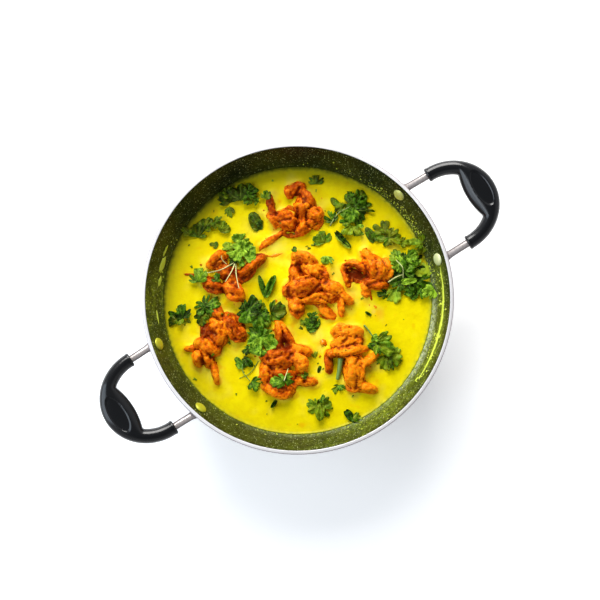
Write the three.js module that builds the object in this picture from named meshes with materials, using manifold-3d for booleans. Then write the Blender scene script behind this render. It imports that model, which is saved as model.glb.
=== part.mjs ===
// A two-handled pan of kadhi pakora: the pan with its riveted handles, the curry and the fritters in it.
// Millimetres, +Z up. The origin is the centre of the flat base.
import * as THREE from "three";
import { mergeVertices } from "three/addons/utils/BufferGeometryUtils.js";
import Module from "manifold-3d";

const wasm = await Module();
wasm.setup();

// --- Driving dimensions ---

const GAP = 0.35; // clearance between pieces that touch

// Pan
const RIM_RADIUS = 130; // outside of the rim
const MOUTH_RADIUS = 126.5; // inside of the rim
const RIM_HEIGHT = 82;
const WALL = 3; // thickness of the wall
const FLOOR = 4; // thickness of the floor
const FLOOR_RADIUS = 60; // flat part of the inside
const BASE_RADIUS = 72; // machined flat the pan stands on
const BASE_CHAMFER = 1.2;
const WALL_LEAN = 22; // degrees that the wall leans outwards at the rim
const WALL_PULL = 48; // how far the lean at the rim reaches down the wall
const FLOOR_PULL = 40; // how far the flat of the floor reaches into the wall
const BEAD_HEIGHT = 2.8; // height of the thickened edge
const AROUND = 44; // sides of the round

// Contents
const CURRY_LEVEL = 55;

// Rivets, ears and rods
const RIVET_HEIGHT = 73;
const RIVET_SPREAD = 15.1; // degrees each side of the handle's middle
const SHANK_RADIUS = 2.4;
const HEAD_RADIUS = 5.3;
const HEAD_RISE = 1.9;
const HEAD_SEAT = 0.6; // the head's edge clears the hollow curve of the wall by this much
const TAIL_RADIUS = 3.9;
const TAIL_RISE = 1.5;
const EAR_WIDTH = 12;
const EAR_BELOW = 7; // how far the ear goes down from its rivet
const EAR_ABOVE = 3.6; // how far it goes up before the rod bends outwards
const EAR_THICKNESS = 2.2;
const EAR_INSET = 0.6; // how much narrower the rod starts than its ear
const KNEE_SHARE = 0.28; // where the rod turns outwards, as a share of its way to the grip
const KNEE_RISE = 2.4;
const ROD_RADIUS = 3.1;

// Grips
const HANDLE_DIRECTIONS = [30.2, 213.8]; // degrees from +X, seen from above
const HANDLE_RISE = 12; // degrees that a grip slopes upwards
const GRIP_STARTS = [147.3, 145.3]; // from the pan's axis to the ends of each grip
const GRIP_START_HEIGHT = 82.5;
const GRIP_REACH = 41.2; // from its ends to its outermost point
const GRIP_HALF_WIDTH = 38.9;
const HOLLOW_REACH = 29; // the open middle, before the pad fills a part of it
const HOLLOW_HALF_WIDTH = 27.2;
const PAD_REACH = 16.5; // from the ends to the inner edge of the pad
const PAD_BULGE = 0.0079; // curve of that edge, per millimetre
const PAD_BLEND = 1.5;
const ARM_HALF_THICKNESS = 5.8;
const PAD_HALF_THICKNESS = 7.2;
const DISH_DEPTH = 1.6;
const DISH_REACH = 30; // from the ends to the middle of the dished thumb rest
const DISH_HALF_WIDTH = 6.6;
const DISH_HALF_LENGTH = 17;
const COLLAR_LENGTH = 2.4;
const COLLAR_PROUD = 0.5;
const SOCKET_DEPTH = 8; // how deep a rod goes into its grip

// Fritters. Each has a place on the curry and its lumps, measured from that place:
// from x, from y, to x, to y, radius, rise above the curry.
const UNDER = 4; // how deep a lump reaches into the curry at least
const UNDER_SHARE = 1.3; // how deep a fat lump reaches, as a share of its radius
const LUMP_AROUND = 7;
const LUMP_PROFILE = [[0, -1], [1, -0.15], [0.74, 0.7], [0, 1]]; // foot, belly, shoulder and crown
const LUMP_RIPPLE = 0.06;
const LUMP_FULLNESS = 1.14; // makes up for the width that flat facets lose
const PAKORAS = {
  pakora_top: {
    place: [-1, 72.5],
    lumps: [
      [-4, 22, 3, 25, 5.6, 9],
      [7, 18, 13, 8.5, 5.4, 9],
      [4.5, 11, 4.5, 3, 6.4, 10],
      [14, 1, 17, 1, 6.5, 9],
      [3, -13, 12, -7, 5.4, 8],
      [-12, -2, -4, -7, 8, 9],
      [-22, 0, -15, -6, 4.8, 7],
      [-23, 17, -20.5, 1, 2.8, 6],
      [-31, -28, -9, -13, 2.8, 3],
    ],
  },
  pakora_left: {
    place: [-58, 19],
    lumps: [
      [-16.5, 10.5, -7, 17, 5.4, 9],
      [8, 2, 27, 16, 4.8, 8],
      [-21, -3.5, -10, -11, 6.2, 8],
      [-2.5, -10, 7.5, -16.5, 6.6, 10],
      [-7, 6, 5, -2, 8, 7],
    ],
  },
  pakora_centre: {
    place: [14.5, 10.5],
    lumps: [
      [-15, 26, -2.5, 21.5, 6, 9],
      [-16, 20, -17.5, 4, 5, 8],
      [-7, 15, 7, 10, 6.4, 9],
      [-20, -2.5, 1, 1, 8.8, 11],
      [-17, -13, -14.5, -21.5, 6.4, 9],
      [-9, -12, 17, -8, 5, 9],
      [10, 1, 20.5, -3.5, 6.5, 9],
      [20, -6, 31, -13, 4.2, 7],
      [23, -10, 23, -24, 3, 6],
      [4, -15, 16.5, -26, 4, 4],
    ],
  },
  pakora_right: {
    place: [62.5, 22.5],
    lumps: [
      [2, 7, 10.5, -1.5, 10, 11],
      [-4, 18, 2, 8, 4.2, 8],
      [14.5, 8, 15.5, -1, 5.4, 9],
      [-23, 4, -13, 9, 3, 6],
      [-15, 9, -2, 1, 3, 8],
      [-22.5, 3, -18, -11, 3.2, 4],
      [-2, -8, 11, -10.5, 5.4, 8],
      [-5, -8, -3, -19, 3.2, 4],
    ],
  },
  pakora_lower_left: {
    place: [-71.5, -36],
    lumps: [
      [1, 26.5, 3, 19, 5.2, 8],
      [10.5, 17, 21.5, 4, 7.4, 9],
      [1, 13, 5, 0, 7.2, 11],
      [-8.5, 12, -7.5, 3, 4.8, 6],
      [-10, -4, -1, -7.5, 8, 10],
      [-24, -7.5, -13, -6, 2.8, 5],
      [-14.5, -13, -13, -18, 5.2, 9],
      [-5, -13, -5, -20, 4.8, 7],
      [-2, -17, 2.5, -36, 3.4, 5],
    ],
  },
  pakora_lower_middle: {
    place: [-10.5, -55.5],
    lumps: [
      [-7, 35, -3.5, 13, 3.4, 8],
      [-4.5, 34, 7, 14, 3.4, 7],
      [3, 12, 18.5, 9.5, 5.6, 8],
      [-14, 4.5, 6, 4.5, 8.4, 10],
      [12, 5, 14, -4, 5.8, 11],
      [-18, -3, -15, -15, 5.4, 7],
      [-13, -20, 2, -22.5, 8, 9],
      [-10, -7, 2, -12, 9, 6],
      [8, -15, 25, -16.5, 4.8, 4],
    ],
  },
  pakora_lower_right: {
    place: [45.5, -51.5],
    lumps: [
      [-11, 22, 5, 22, 6.6, 9],
      [-11, 12, 6, 15, 6.4, 9],
      [-17, 4.5, 10, 8.5, 5, 11],
      [1.5, -2, 4.5, -20, 9.6, 10],
      [-19, 5, -18, -10, 4, 5],
      [9, -6, 21.5, 2.5, 3.8, 7],
      [6, -23, 19, -26.5, 4.6, 7],
    ],
  },
};

// --- Solids ---

const radians = THREE.MathUtils.degToRad;

// A closed geometry as a solid that can be joined and cut.
function solidOf(geometry) {
  const bare = geometry.clone();
  bare.deleteAttribute("normal");
  bare.deleteAttribute("uv");
  const merged = mergeVertices(bare, 1e-4);
  const mesh = new wasm.Mesh({
    numProp: 3,
    vertProperties: merged.getAttribute("position").array,
    triVerts: new Uint32Array(merged.index.array),
  });
  return new wasm.Manifold(mesh);
}

// A joined or cut solid as a geometry again.
function geometryOf(solid) {
  const mesh = solid.getMesh();
  const geometry = new THREE.BufferGeometry();
  geometry.setAttribute("position", new THREE.BufferAttribute(mesh.vertProperties, 3));
  geometry.setIndex(new THREE.BufferAttribute(mesh.triVerts, 1));
  return geometry;
}

// A profile of [radius, height] pairs turned round the Z axis.
function turned(profile, around) {
  const points = profile.map(([radius, height]) => new THREE.Vector2(radius, height));
  return new THREE.LatheGeometry(points, around).rotateX(Math.PI / 2);
}

// A closed skin over a row of rings that have the same number of points, with flat ends.
function lofted(rings) {
  const count = rings[0].length;
  const points = rings.flat();
  const index = [];
  for (let ring = 0; ring + 1 < rings.length; ring += 1) {
    for (let side = 0; side < count; side += 1) {
      const next = (side + 1) % count;
      const low = ring * count;
      const high = low + count;
      index.push(low + side, low + next, high + next);
      index.push(low + side, high + next, high + side);
    }
  }
  const last = (rings.length - 1) * count;
  for (let side = 1; side + 1 < count; side += 1) {
    index.push(0, side + 1, side);
    index.push(last, last + side, last + side + 1);
  }
  return new THREE.BufferGeometry().setFromPoints(points).setIndex(index);
}

// Turns a geometry so that its own Y axis lies along a direction, and moves its origin to a place.
function aimed(geometry, direction, place) {
  const turn = new THREE.Quaternion().setFromUnitVectors(new THREE.Vector3(0, 1, 0), direction);
  return geometry.applyQuaternion(turn).translate(place.x, place.y, place.z);
}

// --- Pan ---

// The inside of the wall, from the edge of the flat floor to the mouth.
const lean = radians(WALL_LEAN);
const wallLine = new THREE.CubicBezierCurve(
  new THREE.Vector2(FLOOR_RADIUS, FLOOR),
  new THREE.Vector2(FLOOR_RADIUS + FLOOR_PULL, FLOOR),
  new THREE.Vector2(MOUTH_RADIUS - WALL_PULL * Math.sin(lean), RIM_HEIGHT - WALL_PULL * Math.cos(lean)),
  new THREE.Vector2(MOUTH_RADIUS, RIM_HEIGHT),
);

// The share of the wall line that lies below a height, found by halving.
function shareAt(height) {
  let low = 0;
  let high = 1;
  for (let step = 0; step < 40; step += 1) {
    const middle = (low + high) / 2;
    if (wallLine.getPoint(middle).y < height) low = middle;
    else high = middle;
  }
  return low;
}

// The way out of the metal at a share of the wall line: right-hand normal of the line.
function outwardAt(share) {
  const along = wallLine.getTangent(share);
  return new THREE.Vector2(along.y, -along.x);
}

// A point of the wall, moved out of the pan by a distance.
function wallPoint(share, out) {
  const place = wallLine.getPoint(share).addScaledVector(outwardAt(share), out);
  return [place.x, place.y];
}

// Evenly spaced shares, without the first.
function steps(from, to, count) {
  return Array.from({ length: count }, (_, i) => from + ((to - from) * (i + 1)) / count);
}

const levelShare = shareAt(CURRY_LEVEL);
const wetShares = [0, ...steps(0, levelShare, 4)];
const dryShares = steps(levelShare, 1, 3);

function panGeometry() {
  const baseShare = 0.115;
  const outer = [...steps(baseShare, 0.93, 5)].map((share) => wallPoint(share, WALL));
  const inner = [...wetShares, ...dryShares].map((share) => wallPoint(share, 0));
  const profile = [
    [0, 0],
    [BASE_RADIUS - BASE_CHAMFER, 0],
    [BASE_RADIUS, BASE_CHAMFER],
    ...outer,
    [RIM_RADIUS - 0.5, RIM_HEIGHT - BEAD_HEIGHT],
    [RIM_RADIUS, RIM_HEIGHT - BEAD_HEIGHT / 2],
    [RIM_RADIUS - 0.9, RIM_HEIGHT],
    ...inner.reverse(),
    [0, FLOOR],
  ];
  let pan = solidOf(turned(profile, AROUND));
  for (const seat of rivetSeats()) {
    const drill = new THREE.CylinderGeometry(SHANK_RADIUS + GAP, SHANK_RADIUS + GAP, 6 * WALL, 8);
    pan = pan.subtract(solidOf(aimed(drill, seat.inward, seat.place)));
  }
  return geometryOf(pan);
}

// --- Handles ---

// Where a rivet meets the inside of the wall, at an angle from the +X axis.
function rivetSeat(angle) {
  const share = shareAt(RIVET_HEIGHT);
  const [radius, height] = wallPoint(share, 0);
  const out = outwardAt(share);
  const round = new THREE.Vector3(Math.cos(angle), Math.sin(angle), 0);
  const outward = round.clone().multiplyScalar(out.x).setZ(out.y);
  return {
    place: round.clone().multiplyScalar(radius).setZ(height),
    inward: outward.clone().negate(),
    outward,
    round,
  };
}

function rivetSeats() {
  return HANDLE_DIRECTIONS.flatMap((direction) =>
    [-RIVET_SPREAD, RIVET_SPREAD].map((side) => rivetSeat(radians(direction + side))),
  );
}

// A rivet along +Y: domed head inside the pan, shank through wall and ear, domed tail outside.
function rivetGeometry() {
  const grip = WALL + EAR_THICKNESS + 3 * GAP;
  const dome = (radius, rise, turn) => [radius * Math.cos(turn), rise * Math.sin(turn)];
  const head = [0, 0.4, 0.8, 1.2].map((turn) => {
    const [radius, rise] = dome(HEAD_RADIUS, HEAD_RISE, turn);
    return [radius, HEAD_SEAT + rise];
  });
  const tail = [1, 0.5, 0].map((turn) => {
    const [radius, rise] = dome(TAIL_RADIUS, TAIL_RISE, turn);
    return [radius, -grip - rise];
  });
  const profile = [
    [0, -grip - TAIL_RISE],
    ...tail,
    [SHANK_RADIUS, -grip],
    [SHANK_RADIUS, HEAD_SEAT],
    ...head,
    [0, HEAD_SEAT + HEAD_RISE],
  ];
  const points = profile.map(([radius, height]) => new THREE.Vector2(radius, height));
  return new THREE.LatheGeometry(points, 9);
}

// An oval ring of points round a place, with its width along side and its thickness along normal.
function ovalRing(place, side, normal, halfWidth, halfThickness, count) {
  return Array.from({ length: count }, (_, i) => {
    const turn = (2 * Math.PI * i) / count;
    return place
      .clone()
      .addScaledVector(side, halfWidth * Math.cos(turn))
      .addScaledVector(normal, halfThickness * Math.sin(turn));
  });
}

// A steel rod in its handle's own frame (X out of the pan): a flat ear on the wall that bends outwards and
// rounds into the rod, which ends inside the grip. The rivet's hole goes through the ear.
function rodGeometry(side, start) {
  const seat = rivetSeat(radians(side * RIVET_SPREAD));
  const across = new THREE.Vector3(-seat.round.y, seat.round.x, 0);
  const up = seat.outward.clone().cross(across).normalize();
  const middle = seat.place.clone().addScaledVector(seat.outward, WALL + GAP + EAR_THICKNESS / 2);
  const corner = EAR_WIDTH / 2;
  const outline = new THREE.Shape();
  outline.moveTo(corner, EAR_ABOVE);
  outline.lineTo(-corner, EAR_ABOVE);
  outline.lineTo(-corner, corner - EAR_BELOW);
  outline.absarc(0, corner - EAR_BELOW, corner, Math.PI, 2 * Math.PI, false);
  const ear = new THREE.ExtrudeGeometry(outline, {
    depth: EAR_THICKNESS,
    bevelEnabled: false,
    curveSegments: 5,
  });
  ear.translate(0, 0, -EAR_THICKNESS / 2);
  ear.applyMatrix4(new THREE.Matrix4().makeBasis(across, up, seat.outward));
  ear.translate(middle.x, middle.y, middle.z);

  const rise = radians(HANDLE_RISE);
  const gripAxis = (GRIP_HALF_WIDTH + HOLLOW_HALF_WIDTH) / 2;
  const alongGrip = (distance) =>
    new THREE.Vector3(
      start + distance * Math.cos(rise),
      side * gripAxis,
      GRIP_START_HEIGHT + distance * Math.sin(rise),
    );
  const bend = middle.clone().addScaledVector(up, EAR_ABOVE + 1);
  const route = new THREE.CatmullRomCurve3([
    middle.clone().addScaledVector(up, EAR_ABOVE - 2.5),
    bend,
    bend.clone().lerp(alongGrip(0), KNEE_SHARE).setZ(bend.z + KNEE_RISE),
    alongGrip(-6),
    alongGrip(SOCKET_DEPTH - GAP),
  ]);
  const rings = [];
  const count = 7;
  for (let i = 0; i <= count; i += 1) {
    const share = i / count;
    const along = route.getTangentAt(share);
    const sideways = across.clone().lerp(new THREE.Vector3(0, 1, 0), Math.min(1, 2 * share)).normalize();
    const normal = along.clone().cross(sideways).normalize();
    const rounding = THREE.MathUtils.smoothstep(share, 0.08, 0.5);
    const halfWidth = THREE.MathUtils.lerp(EAR_WIDTH / 2 - EAR_INSET, ROD_RADIUS, rounding);
    const halfThickness = THREE.MathUtils.lerp(EAR_THICKNESS / 2, ROD_RADIUS, rounding);
    rings.push(ovalRing(route.getPointAt(share), sideways, normal, halfWidth, halfThickness, 8));
  }
  const drill = new THREE.CylinderGeometry(SHANK_RADIUS + GAP, SHANK_RADIUS + GAP, 6 * WALL, 8);
  const hole = solidOf(aimed(drill, seat.outward, middle));
  return geometryOf(solidOf(lofted(rings)).add(solidOf(ear)).subtract(hole));
}

// The smaller of two lengths, with a rounded change-over.
function softMin(a, b, blend) {
  const mix = THREE.MathUtils.clamp(0.5 + (b - a) / (2 * blend), 0, 1);
  return b + (a - b) * mix - blend * mix * (1 - mix);
}

// The outline of a grip at a turn from -90 to 90 degrees: outer and inner point as [reach, across].
function gripOutline(turn) {
  const outer = [GRIP_REACH * Math.cos(turn), GRIP_HALF_WIDTH * Math.sin(turn)];
  const across = HOLLOW_HALF_WIDTH * Math.sin(turn);
  const pad = PAD_REACH + PAD_BULGE * across * across;
  const inner = [softMin(HOLLOW_REACH * Math.cos(turn), pad, PAD_BLEND), across];
  return { outer, inner };
}

// How far the thumb rest sinks below the top of the grip at a reach and an offset across.
function dishAt(reach, across) {
  const x = (reach - DISH_REACH) / DISH_HALF_WIDTH;
  const y = across / DISH_HALF_LENGTH;
  return DISH_DEPTH * Math.max(0, 1 - x * x - y * y);
}

// A grip in its handle's own frame: rounded sections along the outline, with a collar at each end.
function gripGeometry(start) {
  const rise = radians(HANDLE_RISE);
  const place = (reach, across, height) =>
    new THREE.Vector3(
      start + reach * Math.cos(rise) - height * Math.sin(rise),
      across,
      GRIP_START_HEIGHT + reach * Math.sin(rise) + height * Math.cos(rise),
    );
  const section = (turn, shift, proud) => {
    const { outer, inner } = gripOutline(turn);
    const middle = [(outer[0] + inner[0]) / 2 + shift, (outer[1] + inner[1]) / 2];
    const half = [(outer[0] - inner[0]) / 2, (outer[1] - inner[1]) / 2];
    const width = Math.hypot(half[0], half[1]);
    const thickness = THREE.MathUtils.lerp(ARM_HALF_THICKNESS, PAD_HALF_THICKNESS, Math.cos(turn) ** 2);
    const count = 10;
    return Array.from({ length: count }, (_, i) => {
      const round = (-2 * Math.PI * i) / count;
      const out = Math.cos(round) * (1 + proud / width);
      const height = Math.sin(round) * (thickness + proud);
      const reach = middle[0] + half[0] * out;
      const across = middle[1] + half[1] * out;
      return place(reach, across, height > 0 ? height - dishAt(reach, across) : height);
    });
  };
  const quarter = Math.PI / 2;
  const rings = [section(-quarter, -COLLAR_LENGTH, COLLAR_PROUD), section(-quarter, 0, COLLAR_PROUD)];
  const count = 18;
  for (let i = 0; i <= count; i += 1) {
    rings.push(section(-quarter + (Math.PI * i) / count, i === 0 || i === count ? 0.6 : 0, 0));
  }
  rings.push(section(quarter, 0, COLLAR_PROUD), section(quarter, -COLLAR_LENGTH, COLLAR_PROUD));
  let grip = solidOf(lofted(rings));
  const along = new THREE.Vector3(Math.cos(rise), 0, Math.sin(rise));
  const length = 2 * (SOCKET_DEPTH + GAP);
  for (const side of [-1, 1]) {
    const bore = new THREE.CylinderGeometry(ROD_RADIUS + GAP, ROD_RADIUS + GAP, length, 8);
    const mouth = place(0, (side * (GRIP_HALF_WIDTH + HOLLOW_HALF_WIDTH)) / 2, 0);
    grip = grip.subtract(solidOf(aimed(bore, along, mouth)));
  }
  return geometryOf(grip);
}

// --- Contents ---

// One lump of a fritter: a long top-shaped knob, a little rippled, with its foot in the curry.
function lumpSolid([fromX, fromY, toX, toY, radius, top], grow) {
  const length = Math.hypot(toX - fromX, toY - fromY);
  const full = radius * LUMP_FULLNESS;
  const tall = (top + Math.max(UNDER, UNDER_SHARE * radius)) / 2;
  const ball = turned(LUMP_PROFILE, LUMP_AROUND);
  const points = ball.getAttribute("position");
  for (let i = 0; i < points.count; i += 1) {
    const [x, y, z] = [points.getX(i), points.getY(i), points.getZ(i)];
    const ripple = 1 + LUMP_RIPPLE * Math.sin(4 * x + 5 * y + 3 * z + fromX);
    points.setXYZ(i, x * ripple, y * ripple, z);
  }
  ball.scale(length / 2 + full + grow, full + grow, tall + grow);
  ball.rotateZ(Math.atan2(toY - fromY, toX - fromX));
  ball.translate((fromX + toX) / 2, (fromY + toY) / 2, top - tall);
  return solidOf(ball);
}

// A whole fritter in its place on the curry, made bigger all round by grow.
function pakoraSolid({ place, lumps }, grow) {
  const whole = lumps.map((lump) => lumpSolid(lump, grow)).reduce((sum, lump) => sum.add(lump));
  return solidOf(geometryOf(whole).translate(place[0], place[1], CURRY_LEVEL));
}

// The curry: fills the pan up to its level, with a socket for each fritter.
function curryGeometry() {
  const profile = [
    [0, FLOOR + GAP],
    ...wetShares.map((share) => wallPoint(share, -GAP)),
    [0, wallPoint(levelShare, -GAP)[1]],
  ];
  let curry = solidOf(turned(profile, AROUND));
  for (const pakora of Object.values(PAKORAS)) curry = curry.subtract(pakoraSolid(pakora, GAP));
  return geometryOf(curry);
}

// --- Materials ---

function finish(name, color, roughness, metalness) {
  return new THREE.MeshStandardMaterial({ name, color, roughness, metalness });
}

const coating = () => finish("speckled_coating", 0x1b1d12, 0.35, 0.2);
const steel = () => finish("polished_steel", 0xc9c6c2, 0.22, 1);
const aluminium = () => finish("aluminium", 0xdad8cf, 0.3, 0.9);
const plastic = () => finish("black_plastic", 0x121317, 0.22, 0);
const kadhi = () => finish("kadhi", 0xf2dc14, 0.3, 0);
const crust = () => finish("fried_crust", 0xd9640f, 0.35, 0);

// --- Assembly ---

const pot = new THREE.Group();

function put(group, name, geometry, material) {
  const mesh = new THREE.Mesh(geometry, material);
  mesh.name = name;
  group.add(mesh);
}

put(pot, "pan", panGeometry(), coating());
put(pot, "curry", curryGeometry(), kadhi());
for (const [name, pakora] of Object.entries(PAKORAS)) {
  put(pot, name, geometryOf(pakoraSolid(pakora, 0)), crust());
}
HANDLE_DIRECTIONS.forEach((direction, i) => {
  const handle = new THREE.Group();
  handle.rotation.z = radians(direction);
  pot.add(handle);
  put(handle, `grip_${i + 1}`, gripGeometry(GRIP_STARTS[i]), plastic());
  [-1, 1].forEach((side, j) => {
    const number = 2 * i + j + 1;
    put(handle, `rod_${number}`, rodGeometry(side, GRIP_STARTS[i]), steel());
    const seat = rivetSeat(radians(side * RIVET_SPREAD));
    put(handle, `rivet_${number}`, aimed(rivetGeometry(), seat.inward, seat.place), aluminium());
  });
});

export default pot;
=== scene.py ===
import math

import bpy
import numpy as np
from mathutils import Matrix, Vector


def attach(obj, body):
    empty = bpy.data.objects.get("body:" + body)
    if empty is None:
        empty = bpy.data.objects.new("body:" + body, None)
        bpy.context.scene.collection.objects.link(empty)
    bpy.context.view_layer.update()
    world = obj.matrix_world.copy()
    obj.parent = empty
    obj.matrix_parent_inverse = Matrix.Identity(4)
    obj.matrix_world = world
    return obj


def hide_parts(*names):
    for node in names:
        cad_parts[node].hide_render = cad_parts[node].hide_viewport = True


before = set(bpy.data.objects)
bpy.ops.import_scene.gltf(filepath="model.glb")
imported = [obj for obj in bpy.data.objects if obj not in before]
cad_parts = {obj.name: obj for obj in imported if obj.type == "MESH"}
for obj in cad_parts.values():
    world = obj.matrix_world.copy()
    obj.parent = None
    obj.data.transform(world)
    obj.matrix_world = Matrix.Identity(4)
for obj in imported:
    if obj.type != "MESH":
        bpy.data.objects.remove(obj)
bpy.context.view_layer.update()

# The looks of a pan of kadhi pakora. Lengths are in millimetres until a mesh is made, +Z is up, and the
# origin is the centre of the flat base. Every piece is worked out below from named sizes.

MM = 0.001
# Points of a mesh that agree to this many parts of a millimetre are one point.
PARTS = 1e4

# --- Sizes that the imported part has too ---

RIM_RADIUS = 130.0
MOUTH_RADIUS = 126.5
RIM_HEIGHT = 82.0
WALL = 3.0
FLOOR = 4.0
FLOOR_RADIUS = 60.0
BASE_RADIUS = 72.0
WALL_LEAN = math.radians(22)
WALL_PULL = 48.0
FLOOR_PULL = 40.0
CURRY_LEVEL = 55.0
CURRY_CLIMB = 1.6
RIVET_HEIGHT = 73.0
RIVET_SPREAD = math.radians(15.1)
HEAD_RADIUS = 5.3
HEAD_RISE = 1.9
TAIL_RADIUS = 3.9
TAIL_RISE = 1.5
EAR_WIDTH = 12.0
EAR_BELOW = 7.0
EAR_ABOVE = 3.6
EAR_THICKNESS = 2.2
EAR_GAP = 0.35
EAR_INSET = 0.4
SHANK_RADIUS = 2.4
ROD_RADIUS = 3.1
KNEE_SHARE = 0.28
KNEE_RISE = 2.4
HANDLE_DIRECTIONS = [math.radians(30.2), math.radians(213.8)]
HANDLE_RISE = math.radians(12)
GRIP_STARTS = [147.3, 145.3]
GRIP_START_HEIGHT = 82.5
GRIP_REACH = 41.2
GRIP_HALF_WIDTH = 38.9
HOLLOW_REACH = 29.0
HOLLOW_HALF_WIDTH = 27.2
PAD_REACH = 16.5
PAD_BULGE = 0.0079
PAD_BLEND = 1.5
ARM_HALF_THICKNESS = 5.8
PAD_HALF_THICKNESS = 7.2
DISH_DEPTH = 1.6
DISH_REACH = 30.0
DISH_HALF_WIDTH = 6.6
DISH_HALF_LENGTH = 17.0

# Lumps of each fritter, from its place on the curry: from x, from y, to x, to y, radius, rise.
PAKORAS = {
    "pakora_top": (
        (-1, 72.5),
        [
            (-4, 22, 3, 25, 5.6, 9), (7, 18, 13, 8.5, 5.4, 9), (4.5, 11, 4.5, 3, 6.4, 10),
            (14, 1, 17, 1, 6.5, 9), (3, -13, 12, -7, 5.4, 8), (-12, -2, -4, -7, 8, 9),
            (-22, 0, -15, -6, 4.8, 7), (-23, 17, -20.5, 1, 2.8, 6), (-31, -28, -9, -13, 2.8, 3),
        ],
    ),
    "pakora_left": (
        (-58, 19),
        [
            (-16.5, 10.5, -7, 17, 5.4, 9), (8, 2, 27, 16, 4.8, 8), (-21, -3.5, -10, -11, 6.2, 8),
            (-2.5, -10, 7.5, -16.5, 6.6, 10), (-7, 6, 5, -2, 8, 7),
        ],
    ),
    "pakora_centre": (
        (14.5, 10.5),
        [
            (-15, 26, -2.5, 21.5, 6, 9), (-16, 20, -17.5, 4, 5, 8), (-7, 15, 7, 10, 6.4, 9),
            (-20, -2.5, 1, 1, 8.8, 11), (-17, -13, -14.5, -21.5, 6.4, 9), (-9, -12, 17, -8, 5, 9),
            (10, 1, 20.5, -3.5, 6.5, 9), (20, -6, 31, -13, 4.2, 7), (23, -10, 23, -24, 3, 6),
            (4, -15, 16.5, -26, 4, 4),
        ],
    ),
    "pakora_right": (
        (62.5, 22.5),
        [
            (2, 7, 10.5, -1.5, 10, 11), (-4, 18, 2, 8, 4.2, 8), (14.5, 8, 15.5, -1, 5.4, 9),
            (-23, 4, -13, 9, 3, 6), (-15, 9, -2, 1, 3, 8), (-22.5, 3, -18, -11, 3.2, 4),
            (-2, -8, 11, -10.5, 5.4, 8), (-5, -8, -3, -19, 3.2, 4),
        ],
    ),
    "pakora_lower_left": (
        (-71.5, -36),
        [
            (1, 26.5, 3, 19, 5.2, 8), (10.5, 17, 21.5, 4, 7.4, 9), (1, 13, 5, 0, 7.2, 11),
            (-8.5, 12, -7.5, 3, 4.8, 6), (-10, -4, -1, -7.5, 8, 10), (-24, -7.5, -13, -6, 2.8, 5),
            (-14.5, -13, -13, -18, 5.2, 9), (-5, -13, -5, -20, 4.8, 7), (-2, -17, 2.5, -36, 3.4, 5),
        ],
    ),
    "pakora_lower_middle": (
        (-10.5, -55.5),
        [
            (-7, 35, -3.5, 13, 3.4, 8), (-4.5, 34, 7, 14, 3.4, 7), (3, 12, 18.5, 9.5, 5.6, 8),
            (-14, 4.5, 6, 4.5, 8.4, 10), (12, 5, 14, -4, 5.8, 11), (-18, -3, -15, -15, 5.4, 7),
            (-13, -20, 2, -22.5, 8, 9), (-10, -7, 2, -12, 9, 6), (8, -15, 25, -16.5, 4.8, 4),
        ],
    ),
    "pakora_lower_right": (
        (45.5, -51.5),
        [
            (-11, 22, 5, 22, 6.6, 9), (-11, 12, 6, 15, 6.4, 9), (-17, 4.5, 10, 8.5, 5, 11),
            (1.5, -2, 4.5, -20, 9.6, 10), (-19, 5, -18, -10, 4, 5), (9, -6, 21.5, 2.5, 3.8, 7),
            (6, -23, 19, -26.5, 4.6, 7),
        ],
    ),
}

# Places on the curry are counted on a square grid: one step is GRID_STEP long, and the pan's axis is at
# GRID_MIDDLE, counted to the right and down.
GRID_STEP = 0.86
GRID_MIDDLE = (297.3, 300.2)

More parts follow.
